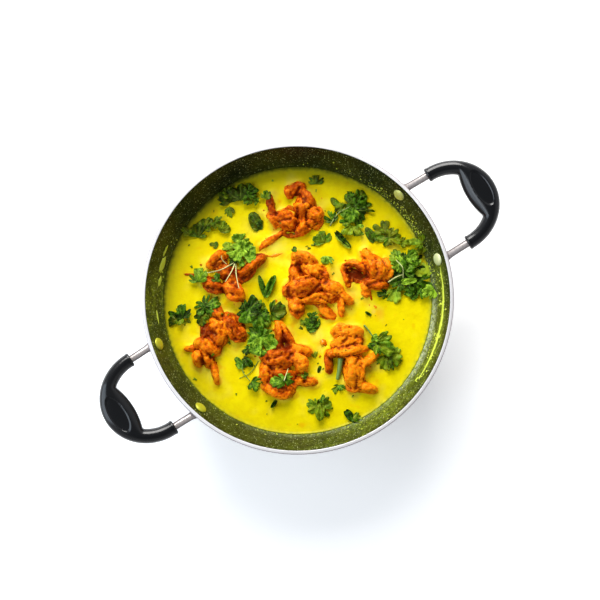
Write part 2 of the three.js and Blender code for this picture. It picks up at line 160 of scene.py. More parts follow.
# Onion strands and folded edges of each fritter: half width in millimetres, shade from crimson 0 to bright
# orange 1, and the places they run through.
FOLDS = {
    "pakora_top": [
        (2.3, 0.15, [(269, 194), (268, 203), (272, 212), (276, 216)]),
        (2.0, 0.9, [(267, 216), (273, 223), (276, 230)]), (3.0, 0.6, [(287, 185), (288, 194), (293, 197)]),
        (2.4, 0.45, [(296, 182), (302, 189), (304, 199)]), (2.6, 0.55, [(301, 190), (308, 197), (312, 206)]),
        (2.2, 0.95, [(293, 204), (302, 208), (310, 205)]),
        (2.1, 0.9, [(309, 212), (318, 210), (322, 219), (317, 228), (311, 227)]),
        (1.5, 0.85, [(311, 217), (318, 217), (318, 222)]), (2.4, 0.7, [(277, 219), (287, 215), (296, 218)]),
        (2.2, 0.75, [(277, 227), (286, 224), (294, 229)]), (2.3, 0.7, [(300, 216), (303, 224), (303, 232)]),
        (1.7, 0.75, [(285, 232), (273, 238), (264, 243), (258, 251)]),
        (1.2, 0.8, [(271, 241), (262, 247), (257, 254)]), (2.0, 0.5, [(283, 236), (293, 236), (304, 235)]),
        (1.6, 0.85, [(281, 211), (289, 207), (294, 211)]),
    ],
    "pakora_left": [
        (3.2, 0.9, [(211, 265), (216, 258), (224, 253)]), (2.0, 0.7, [(214, 272), (220, 268), (226, 262)]),
        (2.5, 0.75, [(240, 276), (250, 268), (260, 260), (265, 257)]),
        (1.6, 0.3, [(250, 258), (257, 256), (265, 256)]), (2.0, 0.6, [(242, 284), (250, 276), (256, 268)]),
        (2.9, 0.5, [(203, 282), (212, 286), (222, 289)]), (2.0, 0.6, [(202, 288), (211, 293), (220, 294)]),
        (2.6, 0.8, [(223, 288), (231, 284), (239, 290), (241, 297)]),
        (2.6, 0.85, [(226, 295), (233, 300), (240, 299)]), (1.6, 0.7, [(228, 290), (234, 292), (238, 296)]),
        (1.5, 0.5, [(226, 272), (232, 278), (238, 282)]), (1.1, 0.6, [(181, 275), (190, 276), (197, 277)]),
    ],
    "pakora_centre": [
        (2.8, 0.95, [(291, 260), (298, 256), (307, 258), (313, 264)]),
        (2.0, 0.95, [(304, 268), (312, 270), (320, 268), (327, 270)]),
        (2.2, 0.8, [(289, 270), (294, 276), (304, 278)]), (2.2, 0.45, [(324, 272), (326, 280), (320, 288)]),
        (2.0, 0.75, [(290, 287), (300, 281), (311, 281), (318, 285)]),
        (3.4, 0.62, [(297, 290), (305, 287), (312, 286)]), (1.8, 0.55, [(293, 297), (301, 297), (308, 295)]),
        (1.7, 0.9, [(293, 303), (304, 303), (314, 298), (328, 297)]),
        (2.1, 0.95, [(329, 284), (337, 289), (343, 297), (352, 304)]),
        (1.6, 0.8, [(325, 290), (332, 292), (338, 299)]), (1.9, 0.9, [(318, 303), (328, 303), (337, 303)]),
        (1.5, 0.95, [(341, 298), (342, 308), (341, 318)]), (1.4, 0.9, [(345, 297), (349, 301), (353, 303)]),
        (2.3, 0.8, [(290, 306), (296, 311), (304, 308)]), (2.0, 0.65, [(290, 313), (296, 317)]),
        (2.1, 0.95, [(319, 310), (326, 316), (335, 321)]), (1.3, 0.85, [(318, 315), (323, 319), (331, 321)]),
        (1.4, 0.9, [(307, 274), (314, 274), (319, 277)]), (1.4, 0.85, [(283, 291), (284, 297), (289, 302)]),
    ],
    "pakora_right": [
        (1.5, 0.5, [(341, 269), (347, 265), (356, 267), (363, 272), (367, 279)]),
        (0.9, 0.35, [(346, 271), (353, 270), (360, 274), (364, 280)]),
        (1.3, 0.95, [(344, 264), (353, 262), (363, 265)]), (1.5, 0.8, [(341, 271), (346, 280), (347, 289)]),
        (1.3, 0.55, [(350, 282), (357, 283), (364, 281)]), (3.6, 0.0, [(347, 272), (354, 276), (364, 279)]),
        (2.6, 0.0, [(352, 279), (360, 280)]), (2.3, 0.6, [(368, 261), (372, 270), (371, 281)]),
        (2.3, 0.65, [(377, 261), (381, 270), (379, 281)]), (1.7, 0.95, [(365, 250), (368, 258), (373, 263)]),
        (2.2, 0.95, [(387, 263), (391, 272), (388, 281)]), (2.0, 0.4, [(370, 285), (378, 288), (387, 284)]),
        (2.0, 0.95, [(361, 283), (364, 289), (369, 290)]), (1.5, 0.7, [(361, 294), (366, 296), (370, 298)]),
        (1.2, 0.45, [(369, 288), (370, 295), (372, 302)]), (1.3, 0.75, [(362, 261), (368, 263), (374, 268)]),
        (1.6, 0.8, [(383, 259), (386, 266), (385, 276)]),
    ],
    "pakora_lower_left": [
        (2.4, 0.6, [(213, 309), (219, 311), (222, 317)]), (2.0, 0.9, [(213, 314), (219, 317), (224, 322)]),
        (2.1, 0.75, [(224, 314), (232, 317), (239, 322), (245, 332)]),
        (2.4, 0.3, [(224, 320), (230, 324), (237, 330)]), (3.0, 0.95, [(219, 323), (224, 330), (225, 338)]),
        (1.9, 0.9, [(209, 324), (214, 323), (220, 328)]), (2.0, 0.7, [(209, 329), (213, 328), (217, 331)]),
        (2.2, 0.1, [(205, 326), (203, 333), (205, 339)]),
        (2.0, 0.65, [(229, 331), (231, 337), (236, 342), (241, 343)]),
        (2.2, 0.6, [(239, 329), (243, 334), (246, 338)]), (2.9, 0.95, [(195, 349), (202, 344), (209, 345)]),
        (1.3, 0.7, [(185, 352), (190, 350), (197, 350)]), (2.3, 0.75, [(208, 344), (211, 351), (216, 357)]),
        (2.6, 0.95, [(197, 352), (198, 359), (199, 365)]), (2.2, 0.75, [(205, 352), (207, 361), (210, 367)]),
        (2.0, 0.9, [(213, 367), (216, 376), (219, 386)]), (1.5, 0.95, [(213, 352), (215, 355), (218, 357)]),
    ],
    "pakora_lower_middle": [
        (1.7, 0.85, [(276, 321), (279, 331), (281, 341)]),
        (1.4, 0.95, [(279, 321), (284, 331), (289, 339), (296, 346)]),
        (1.9, 0.3, [(277, 349), (269, 355), (262, 361)]), (2.6, 0.6, [(267, 359), (277, 355), (287, 354)]),
        (2.3, 0.5, [(266, 364), (275, 363), (284, 361)]), (2.0, 0.95, [(291, 347), (300, 351), (310, 354)]),
        (3.3, 0.95, [(299, 358), (304, 364), (303, 370)]), (2.4, 0.8, [(266, 370), (262, 378), (267, 385)]),
        (2.0, 0.8, [(272, 369), (282, 368), (290, 371)]), (2.2, 0.25, [(268, 383), (279, 388), (290, 389)]),
        (3.0, 0.85, [(265, 388), (274, 394), (284, 397), (289, 392)]),
        (1.8, 0.75, [(293, 389), (298, 384), (303, 380)]), (2.9, 0.8, [(307, 382), (315, 384)]),
        (1.6, 0.7, [(293, 352), (296, 359), (295, 366)]), (3.4, 0.0, [(283, 336), (285, 343), (287, 350)]),
        (3.0, 0.4, [(272, 372), (284, 376), (297, 375)]),
    ],
    "pakora_lower_right": [
        (3.0, 0.95, [(333, 334), (339, 329), (347, 330)]), (3.0, 0.9, [(350, 332), (357, 333), (361, 340)]),
        (1.9, 0.5, [(360, 341), (357, 347)]), (2.2, 0.95, [(333, 345), (342, 341), (351, 342)]),
        (2.0, 1.0, [(333, 355), (344, 355), (354, 352), (362, 349)]),
        (2.1, 0.35, [(328, 352), (331, 357), (337, 358)]), (2.3, 0.3, [(327, 358), (327, 366), (329, 375)]),
        (3.2, 0.9, [(346, 358), (351, 363), (351, 375), (347, 386)]),
        (2.2, 0.95, [(359, 357), (361, 369), (360, 384)]), (2.2, 1.0, [(361, 367), (368, 363), (374, 358)]),
        (2.4, 1.0, [(360, 388), (367, 389), (374, 391)]), (2.3, 0.7, [(344, 387), (351, 391), (358, 391)]),
        (1.6, 0.9, [(337, 336), (343, 335), (349, 337)]), (1.8, 0.95, [(353, 340), (355, 334), (359, 332)]),
        (1.6, 0.85, [(354, 366), (356, 376), (354, 386)]), (2.0, 0.6, [(320, 342), (323, 344), (326, 347)]),
    ],
}

# How much deeper in colour each fritter is than its strands say.
DEEPER = {
    "pakora_top": 0.16, "pakora_left": 0.24, "pakora_centre": 0.08, "pakora_right": -0.02,
    "pakora_lower_left": 0.10, "pakora_lower_middle": 0.04, "pakora_lower_right": -0.03,
}

# Holes between the strands: radius and depth in millimetres, and places.
PITS = {
    "pakora_top": [
        (1.3, 3.0, [(299, 189), (295, 196), (291, 203)]), (1.5, 3.5, [(297, 210), (297, 218)]),
        (1.9, 3.0, [(296, 225)]), (1.6, 2.5, [(309, 228)]), (1.1, 2.0, [(306, 214), (306, 226)]),
        (1.2, 2.0, [(282, 222), (290, 221)]),
    ],
    "pakora_left": [
        (3.0, 4.0, [(231, 273), (236, 277)]), (1.8, 3.0, [(226, 279), (222, 284)]),
        (2.0, 3.0, [(240, 270), (246, 265)]), (1.6, 2.5, [(221, 291), (225, 297)]),
        (1.4, 2.0, [(213, 267), (219, 262)]), (1.5, 2.0, [(212, 279), (207, 276)]),
    ],
    "pakora_centre": [
        (2.2, 4.0, [(297, 267), (300, 273)]), (1.2, 2.0, [(289, 267), (295, 268)]),
        (1.5, 3.0, [(288, 290), (288, 295), (291, 300)]), (1.4, 2.6, [(319, 287), (314, 292), (308, 298)]),
        (1.3, 2.0, [(306, 280), (318, 279)]), (1.4, 2.0, [(322, 293), (328, 299)]),
        (1.1, 1.6, [(320, 300), (334, 307)]), (1.3, 2.0, [(297, 314), (303, 313)]),
    ],
    "pakora_right": [
        (2.6, 5.0, [(350, 274), (356, 277), (361, 278)]), (1.0, 1.6, [(345, 268), (353, 267), (361, 271)]),
        (1.3, 2.0, [(349, 284)]), (1.4, 1.2, [(365, 268), (367, 275), (366, 282)]),
        (1.1, 0.7, [(375, 266), (377, 273), (375, 280)]), (1.4, 2.4, [(368, 287), (375, 285)]),
        (1.0, 1.6, [(365, 260)]),
    ],
    "pakora_lower_left": [
        (1.9, 3.4, [(212, 334), (216, 336)]), (2.6, 3.4, [(204, 329), (203, 335)]),
        (1.5, 2.4, [(214, 319), (217, 320)]), (1.3, 2.2, [(222, 318)]), (1.7, 2.4, [(235, 341)]),
        (2.0, 3.0, [(202, 361), (204, 367)]), (1.2, 2.0, [(204, 341), (208, 338)]),
        (1.2, 1.8, [(211, 356), (211, 360)]), (1.1, 1.6, [(232, 330), (234, 336)]),
    ],
    "pakora_lower_middle": [
        (3.4, 5.0, [(282, 344), (286, 348)]), (1.5, 2.4, [(279, 350), (274, 353)]), (1.4, 2.5, [(294, 369)]),
        (1.5, 3.0, [(304, 383)]), (1.6, 2.4, [(288, 360), (292, 356)]), (1.6, 2.4, [(268, 361)]),
        (1.5, 2.2, [(268, 384), (276, 388), (286, 390)]),
    ],
    "pakora_lower_right": [
        (1.5, 2.4, [(343, 344), (346, 341)]), (2.6, 4.0, [(335, 361), (338, 366)]),
        (1.5, 2.2, [(341, 366), (341, 378)]), (1.2, 1.8, [(357, 361), (354, 366)]), (1.3, 1.8, [(334, 336)]),
        (1.2, 1.8, [(346, 348), (356, 346)]), (1.1, 1.6, [(356, 378), (355, 390)]), (1.4, 2.0, [(338, 351)]),
    ],
}

# Paler places of the curry, partly painted highlights, and more orange places: across, down, radius in
# millimetres, strength.
CREAM_AND_HIGHLIGHTS = [
    (275, 248, 8, 0.7), (264, 253, 4, 0.5), (318, 337, 7, 0.6), (352, 295, 6, 0.6), (356, 303, 4, 0.4),
    (320, 350, 4, 0.5), (374, 313, 2, 0.9), (319, 372, 3, 0.8), (303, 345, 6, 0.35), (240, 240, 6, 0.4),
    (250, 228, 8, 0.25), (244, 318, 5, 0.3), (212, 372, 8, 0.35), (370, 308, 4, 0.3), (300, 325, 7, 0.2),
    (235, 352, 6, 0.25),
]
TINT = [
    (281, 256, 3.5, 0.9), (272, 257, 3, 0.7), (290, 252, 3, 0.5), (379, 315, 4.5, 1.0), (366, 303, 4, 0.5),
    (320, 345, 3, 0.7), (346, 290, 3, 0.5), (216, 388, 4, 0.6), (330, 350, 4, 0.5), (250, 288, 4, 0.35),
    (212, 212, 3, 0.5), (279, 201, 1.8, 0.9), (245, 345, 4, 0.5), (318, 190, 3, 0.25), (312, 390, 5, 0.4),
    (184, 276, 4, 0.5), (350, 286, 3, 0.6), (385, 325, 4, 0.3),
]

# --- Working out shapes ---


def unit(vectors):
    """Each row divided by its length."""
    return vectors / np.maximum(np.linalg.norm(vectors, axis=-1, keepdims=True), 1e-12)


def smooth_step(low, high, value):
    """0 below low, 1 above high, and 3t2 - 2t3 between them."""
    t = np.clip((value - low) / (high - low), 0, 1)
    return t * t * (3 - 2 * t)


def swell(points, seed):
    """Gradient noise: the eight corners of the unit cell round a point each have a random direction, and
    their dot products with the way to the point are blended by 6t5 - 15t4 + 10t3. Runs from -1 to 1."""
    count = 4096
    directions = unit(np.random.default_rng(seed).normal(size=(count, 3)))
    cell = np.floor(points).astype(np.int64)
    inside = points - cell
    fade = inside**3 * (inside * (inside * 6 - 15) + 10)
    total = np.zeros(len(points))
    for corner in np.ndindex(2, 2, 2):
        at = cell + np.array(corner)
        pick = (at[:, 0] * 73856093 ^ at[:, 1] * 19349663 ^ at[:, 2] * 83492791) & (count - 1)
        share = np.prod(np.where(corner, fade, 1 - fade), axis=1)
        total += share * np.einsum("ij,ij->i", directions[pick], inside - np.array(corner))
    return np.clip(1.7 * total, -1, 1)


def flat_points(x, y):
    """Points of the level plane as rows of three."""
    return np.column_stack([np.ravel(x), np.ravel(y), np.zeros(np.size(x))])


def sheet_faces(rows, columns, round_about=False):
    """Faces of a grid of rows times columns points; the last column joins the first if round_about."""
    number = np.arange(rows * columns).reshape(rows, columns)
    if round_about:
        number = np.hstack([number, number[:, :1]])
    corners = [number[:-1, :-1], number[:-1, 1:], number[1:, 1:], number[1:, :-1]]
    return np.stack([c.ravel() for c in corners], axis=1)


def skin(rings):
    """Closed surface over a row of rings (rings, points, 3), with a fan from its centre on each end."""
    count, around, _ = rings.shape
    points = np.vstack([rings.reshape(-1, 3), rings[0].mean(0), rings[-1].mean(0)])
    one = np.arange(around)
    following = (one + 1) % around
    last = (count - 1) * around
    centre = np.full(around, count * around)
    start = np.column_stack([centre, following, one, one])
    end = np.column_stack([centre + 1, last + one, last + following, last + following])
    return points, np.vstack([sheet_faces(count, around, True), start, end])


def turned(profile, around):
    """A row of (radius, height) turned round the Z axis. It goes out from the axis, up and back in."""
    profile = np.asarray(profile, float)
    angle = np.linspace(0, 2 * np.pi, around, endpoint=False)
    radius = profile[:, :1]
    points = np.stack(
        [radius * np.cos(angle), radius * np.sin(angle), np.repeat(profile[:, 1:], around, axis=1)], axis=2
    )
    return points.reshape(-1, 3), sheet_faces(len(profile), around, True)


def together(shapes):
    """Several (points, faces) as one."""
    points = np.vstack([s[0] for s in shapes])
    starts = np.cumsum([0] + [len(s[0]) for s in shapes[:-1]])
    return points, np.vstack([s[1] + start for s, start in zip(shapes, starts)])


def ways(path):
    """For a path of points: the way along it, a level way across it and the way up from both."""
    along = unit(np.gradient(path, axis=0))
    across = unit(np.cross([0.0, 0.0, 1.0], along + np.array([1e-6, 0, 0])))
    return along, across, np.cross(along, across)


def tube(path, half_width, half_height, around=10):
    """An oval profile carried along a path, its size given at each point, closed on both ends."""
    _, across, up = ways(path)
    angle = np.linspace(0, 2 * np.pi, around, endpoint=False)[None, :, None]
    half_width = np.broadcast_to(half_width, len(path))[:, None, None]
    half_height = np.broadcast_to(half_height, len(path))[:, None, None]
    ring = half_width * np.cos(angle) * across[:, None] + half_height * np.sin(angle) * up[:, None]
    return skin(path[:, None] + ring)


def curve_through(points, per_span=12):
    """A smooth path through points: on each span the cubic whose slopes are half the chord between the
    neighbours on either side."""
    points = np.asarray(points, float)
    padded = np.vstack([2 * points[0] - points[1], points, 2 * points[-1] - points[-2]])
    t = np.linspace(0, 1, per_span, endpoint=False)[:, None]
    spans = []
    for before, start, end, after in zip(padded, padded[1:], padded[2:], padded[3:]):
        leaving, arriving = (end - before) / 2, (after - start) / 2
        spans.append(
            (2 * t**3 - 3 * t**2 + 1) * start + (t**3 - 2 * t**2 + t) * leaving
            + (3 * t**2 - 2 * t**3) * end + (t**3 - t**2) * arriving
        )
    return np.vstack([*spans, points[-1:]])


def on_grid(across, down):
    """Millimetres from the pan's axis of a place on the grid."""
    return (across - GRID_MIDDLE[0]) * GRID_STEP, (GRID_MIDDLE[1] - down) * GRID_STEP


def level_path(places, per_span):
    """A smooth level path through places of the grid."""
    return curve_through([(*on_grid(*place), 0) for place in places], per_span)


def set_down(u, v, way, x, y):
    """Level places, u along and v across, turned by an angle and moved to x, y."""
    return x + u * math.cos(way) - v * math.sin(way), y + u * math.sin(way) + v * math.cos(way)


def spun(points, angle):
    """Points turned round the Z axis."""
    c, s = math.cos(angle), math.sin(angle)
    return points @ np.array([[c, s, 0], [-s, c, 0], [0, 0, 1]])


def frame_of(points, across, up, out, place):
    """Points of a flat drawing (x across, y up, z out) put in place."""
    return points @ np.array([across, up, out]) + place


# --- Making meshes ---


def keep(mesh, values):
    """Numbers kept at each point of a mesh, by name."""
    for key, value in values.items():
        mesh.attributes.new(key, "FLOAT", "POINT").data.foreach_set("value", np.asarray(value, np.float32))


def mesh_of(name, shape, values=None):
    """A mesh in metres. Points that fall together are made one, and a face that comes to the same point
    twice is a triangle. Values are numbers kept at each point."""
    points, faces = shape
    _, first, joined = np.unique(np.round(points * PARTS), axis=0, return_index=True, return_inverse=True)
    rows = [list(dict.fromkeys(row)) for row in joined.ravel()[faces].tolist()]
    mesh = bpy.data.meshes.new(name)
    mesh.from_pydata((points[first] * MM).tolist(), [], [row for row in rows if len(row) > 2])
    keep(mesh, {key: value[first] for key, value in (values or {}).items()})
    mesh.validate()
    mesh.update()
    return mesh


def placed(name, data):
    """A new object in the scene."""
    made = bpy.data.objects.new(name, data)
    bpy.context.scene.collection.objects.link(made)
    return made


def piece(name, mesh, finishes, stands_for=(), sharp=None):
    """One piece of the pot: a mesh with its finishes, riding on the pot's only body."""
    mesh.name = name
    mesh.shade_smooth()
    if sharp:
        mesh.set_sharp_from_angle(angle=math.radians(sharp))
    for look in finishes:
        mesh.materials.append(look)
    made = placed(name, mesh)
    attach(made, "root")
    if stands_for:
        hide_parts(*stands_for)
    return made


def thickened(made, thickness):
    """Gives a sheet a thickness, half of it on each side."""
    solid = made.modifiers.new("thickness", "SOLIDIFY")
    solid.thickness = thickness * MM
    solid.offset = 0


def taken(data, key, width=3, kind=float):
    """Numbers read from the points, edges or faces of a mesh, as rows."""
    values = np.zeros(len(data) * width, kind)
    data.foreach_get(key, values)
    return values.reshape(-1, width)


def move_points(mesh, points):
    """Gives a mesh new places for its points."""
    mesh.vertices.foreach_set("co", (points * MM).ravel())
    mesh.update()


def settled(name, shape, voxel):
    """Overlapping closed shapes as one closed skin of even small faces, by a voxel remesh."""
    draft = placed(name + "_draft", mesh_of(name + "_draft", shape))
    remesh = draft.modifiers.new("one_skin", "REMESH")
    remesh.mode = "VOXEL"
    remesh.voxel_size = voxel * MM
    seen = draft.evaluated_get(bpy.context.evaluated_depsgraph_get())
    mesh = bpy.data.meshes.new_from_object(seen)
    bpy.data.objects.remove(draft)
    return mesh


# --- Finishes ---


def node(tree, kind, inputs=None, **settings):
    """A shader node with its settings; an input is a plain value or another node's output."""
    made = tree.nodes.new(kind)
    for key, value in settings.items():
        setattr(made, key, value)
    for key, value in (inputs or {}).items():
        if isinstance(value, bpy.types.NodeSocket):
            tree.links.new(value, made.inputs[key])
        else:
            made.inputs[key].default_value = value
    return made


def finish(name, **inputs):
    """A material with one Principled shader. Returns it with its tree and shader."""
    material = bpy.data.materials.new(name)
    material.use_nodes = True
    tree = material.node_tree
    tree.nodes.clear()
    shader = node(tree, "ShaderNodeBsdfPrincipled", inputs)
    node(tree, "ShaderNodeOutputMaterial", {"Surface": shader.outputs[0]})
    return material, tree, shader


def here(tree):
    """Place on the piece, in metres."""
    return node(tree, "ShaderNodeTexCoord").outputs["Object"]


def grain(tree, scale, detail=2.0, rough=0.5):
    """Noise of that scale per metre, about 0.5 on average."""
    inputs = {"Vector": here(tree), "Scale": scale, "Detail": detail, "Roughness": rough}
    return node(tree, "ShaderNodeTexNoise", inputs).outputs[0]


def between(tree, value, low, high, to_low=0.0, to_high=1.0):
    """Value taken from low..high to to_low..to_high, smoothly and no further."""
    inputs = {0: value, 1: low, 2: high, 3: to_low, 4: to_high}
    made = node(tree, "ShaderNodeMapRange", inputs, interpolation_type="SMOOTHSTEP")
    return made.outputs[0]


def maths(tree, operation, first, second=0.0):
    """Two numbers taken together by an operation."""
    return node(tree, "ShaderNodeMath", {0: first, 1: second}, operation=operation).outputs[0]


def blended(tree, share, first, second):
    """Two colours blended by a share of the second."""
    made = node(tree, "ShaderNodeMix", {"Factor": share}, data_type="RGBA")
    for socket, colour in ((made.inputs[6], first), (made.inputs[7], second)):
        if isinstance(colour, bpy.types.NodeSocket):
            tree.links.new(colour, socket)
        else:
            socket.default_value = (*colour, 1)
    return made.outputs[2]


def layered(tree, base, *layers):
    """A colour with others laid over it in turn, each by its share."""
    for share, colour in layers:
        base = blended(tree, share, base, colour)
    return base


def coloured(tree, shader, base, rough=None):
    """Gives a shader its colour, and its roughness where that varies."""
    tree.links.new(base, shader.inputs["Base Color"])
    if rough is not None:
        tree.links.new(rough, shader.inputs["Roughness"])


def turned_away(tree, low, high, most=1.0):
    """How far the surface turns away from the eye. A colour blended by it is a painted reflection that
    follows the view.
    """
    away = node(tree, "ShaderNodeLayerWeight", {"Blend": 0.5}).outputs["Facing"]
    return between(tree, away, low, high, 0.0, most)


def kept(tree, name):
    """A number kept at the points of the mesh."""
    return node(tree, "ShaderNodeAttribute", attribute_name=name).outputs["Fac"]


def bumped(tree, shader, height, depth, strength=1.0):
    """Fine relief in the shader, depth in millimetres."""
    inputs = {"Height": height, "Distance": depth * MM, "Strength": strength}
    tree.links.new(node(tree, "ShaderNodeBump", inputs).outputs[0], shader.inputs["Normal"])


def dots(tree, scale, channel, inner, outer, rare, common, strength=1.0):
    """Round spots, one to a random cell: whole out to inner, gone at outer, and stronger the further the
    cell's random number lies from rare towards common."""
    cells = node(tree, "ShaderNodeTexVoronoi", {"Vector": here(tree), "Scale": scale})
    chance = node(tree, "ShaderNodeSeparateColor", {0: cells.outputs["Color"]}).outputs[channel]
    spot = between(tree, cells.outputs["Distance"], inner, outer, 1.0, 0.0)
    return maths(tree, "MULTIPLY", spot, between(tree, chance, rare, common, 0.0, strength))


def lining_finish():
    """Dark non-stick lining: pale specks of two sizes, an olive coat of curry, flecks of dried curry and grey
    places, each as strong as a number kept at the points says. The olive coat also paints light and shade
    round the wall, and the grey places are a painted sheen on the near right just above the curry."""
    sheen = {"Specular IOR Level": 0.22, "Specular Tint": (0.85, 1.0, 0.55, 1)}
    material, tree, shader = finish("speckled_lining", **sheen)
    patch = between(tree, grain(tree, 230, 5, 0.7), 0.34, 0.64, 0.25, 1.0)
    # The olive coat of curry; its strength round the wall also paints light and shade.
    film_and_painted_light = maths(tree, "MULTIPLY", kept(tree, "film_and_painted_light"), patch)
    # Painted sheen: paler grey where the wall catches the light on the near right, just above the curry.
    painted_sheen = maths(tree, "MULTIPLY", kept(tree, "painted_sheen"), between(tree, grain(tree, 420, 4, 0.7), 0.36, 0.62))
    flecks = maths(tree, "MULTIPLY", dots(tree, 430, 1, 0.14, 0.42, 0.3, 0.8), kept(tree, "flecks"))
    base = layered(
        tree,
        (0.0055, 0.0085, 0.0020),
        (film_and_painted_light, (0.215, 0.28, 0.018)),
        (painted_sheen, (0.42, 0.47, 0.33)),
        (dots(tree, 560, 0, 0.12, 0.36, 0.62, 0.95, 0.8), (0.55, 0.62, 0.27)),
        (dots(tree, 980, 0, 0.12, 0.36, 0.45, 0.95, 0.8), (0.55, 0.62, 0.27)),
        (flecks, (0.50, 0.56, 0.07)),
    )
    coloured(tree, shader, base, between(tree, film_and_painted_light, 0.0, 0.9, 0.36, 0.5))
    bumped(tree, shader, grain(tree, 800, 3), 0.2, 0.8)
    return material


def enamel_finish():
    """Plain dark coat of the outside."""
    coat = {"Base Color": (0.016, 0.017, 0.019, 1), "Roughness": 0.34}
    material, tree, shader = finish("dark_enamel", **coat)
    bumped(tree, shader, grain(tree, 900, 2), 0.05, 0.3)
    return material


def rim_finish():
    """Bare turned aluminium of the edge and the base. The edge's outer round is painted darker as shade, and
    the colour darkens where it turns away from the eye, a painted reflection of dark surroundings.
    """
    material, tree, shader = finish("bare_aluminium", Metallic=0.35)
    base = layered(
        tree,
        (0.88, 0.86, 0.86),
        # Painted shade on the outer round, then a painted reflection where the metal turns away from the eye.
        (kept(tree, "outer_round_shade"), (0.48, 0.43, 0.45)),
        (turned_away(tree, 0.45, 0.85, 0.8), (0.24, 0.19, 0.21)),
    )
    coloured(tree, shader, base, between(tree, grain(tree, 260, 2), 0.3, 0.7, 0.38, 0.5))
    return material


def rivet_finish():
    """Aluminium with a yellow coat that paints the curry's reflection, stronger on some rivets than on
    others.
    """
    material, tree, shader = finish("rivet_aluminium", Metallic=0.3, Roughness=0.45)
    patch = between(tree, grain(tree, 700, 3), 0.3, 0.65, 0.7, 1.0)
    # Yellow coat: painted reflection of the curry.
    film_and_painted_light = maths(tree, "MULTIPLY", kept(tree, "film_and_painted_light"), patch)
    coloured(tree, shader, blended(tree, film_and_painted_light, (0.80, 0.90, 0.55), (0.50, 0.50, 0.02)))
    return material


def rod_finish():
    """Steel, pale where it faces the eye and brown where it turns away, a painted reflection of dark
    surroundings, and painted darker as shade at the end by the wall.
    """
    material, tree, shader = finish("polished_steel", Metallic=0.25)
    steel = layered(
        tree,
        (0.44, 0.40, 0.385),
        # Painted reflection: brown where the rod turns away from the eye.
        (turned_away(tree, 0.08, 0.55), (0.04, 0.018, 0.016)),
        # Painted shade at the rod's end by the wall.
        (kept(tree, "heat"), (0.07, 0.02, 0.018)),
    )
    coloured(tree, shader, steel, between(tree, grain(tree, 500, 3), 0.3, 0.75, 0.22, 0.4))
    return material


def grip_finish():
    """Black moulded plastic, glossy, a little orange-peeled."""
    moulded = {"Base Color": (0.006, 0.0065, 0.0075, 1), "Roughness": 0.2, "Specular IOR Level": 0.45}
    material, tree, shader = finish("black_plastic", **moulded)
    bumped(tree, shader, grain(tree, 420, 2), 0.06, 0.3)
    return material


def kadhi_finish():
    """Yellow yoghurt curry: paler where it is stirred and in painted highlights by the fritters, orange where
    oil and chilli tint it, and olive where it thins out on the dark wall. Towards the far left that olive
    edge is widened as painted shade and turned near black as the wall's painted shadow."""
    sheen = {"Roughness": 0.3, "Specular IOR Level": 0.22, "Specular Tint": (1.0, 0.92, 0.3, 1)}
    material, tree, shader = finish("kadhi", **sheen)
    base = layered(
        tree,
        (0.84, 0.675, 0.0012),
        (between(tree, grain(tree, 38, 4, 0.55), 0.35, 0.7), (0.91, 0.755, 0.0016)),
        (between(tree, grain(tree, 190, 4, 0.65), 0.34, 0.62, 0.45, 0.0), (0.80, 0.60, 0.0010)),
        # Paler places: stirred pale, and painted highlights by the fritters.
        (kept(tree, "cream_and_highlight"), (0.94, 0.80, 0.14)),
        (kept(tree, "tint"), (0.82, 0.36, 0.002)),
        (between(tree, grain(tree, 900, 2), 0.64, 0.76, 0.0, 0.3), (0.55, 0.42, 0.01)),
        # Painted shade: the olive thin edge, widened towards the far left; then the wall's painted shadow
        # there.
        (kept(tree, "thin"), (0.17, 0.21, 0.012)),
        (kept(tree, "dark"), (0.028, 0.034, 0.003)),
    )
    coloured(tree, shader, base)
    bumped(tree, shader, grain(tree, 420, 3, 0.6), 0.2, 0.5)
    return material


def crust_finish():
    """Fried batter soaked in curry: from crimson through rust to bright orange by a number kept at the
    points, with painted shade darker in the folds and holes, yellow at the waterline."""
    soaked = {
        "Specular IOR Level": 0.3,
        "Specular Tint": (1.0, 0.65, 0.15, 1),
        "Subsurface Weight": 0.5,
        "Subsurface Radius": (1.0, 0.35, 0.12),
        "Subsurface Scale": 0.0022,
    }
    material, tree, shader = finish("fried_crust", **soaked)
    mottle = between(tree, grain(tree, 210, 5, 0.7), 0.3, 0.7, -0.24, 0.24)
    tone = maths(tree, "ADD", kept(tree, "shade"), mottle)
    base = layered(
        tree,
        (0.13, 0.007, 0.0005),
        (between(tree, tone, -0.05, 0.36), (0.36, 0.038, 0.0006)),
        (between(tree, tone, 0.28, 0.70), (0.64, 0.118, 0.0010)),
        (between(tree, tone, 0.62, 1.05), (0.92, 0.275, 0.004)),
        # Painted shade in the folds and holes.
        (kept(tree, "fold"), (0.17, 0.010, 0.0005)),
        (kept(tree, "wet"), (0.78, 0.36, 0.002)),
    )
    coloured(tree, shader, base, between(tree, grain(tree, 300, 2), 0.35, 0.7, 0.3, 0.55))
    bumped(tree, shader, grain(tree, 620, 5, 0.7), 0.4, 0.6)
    return material


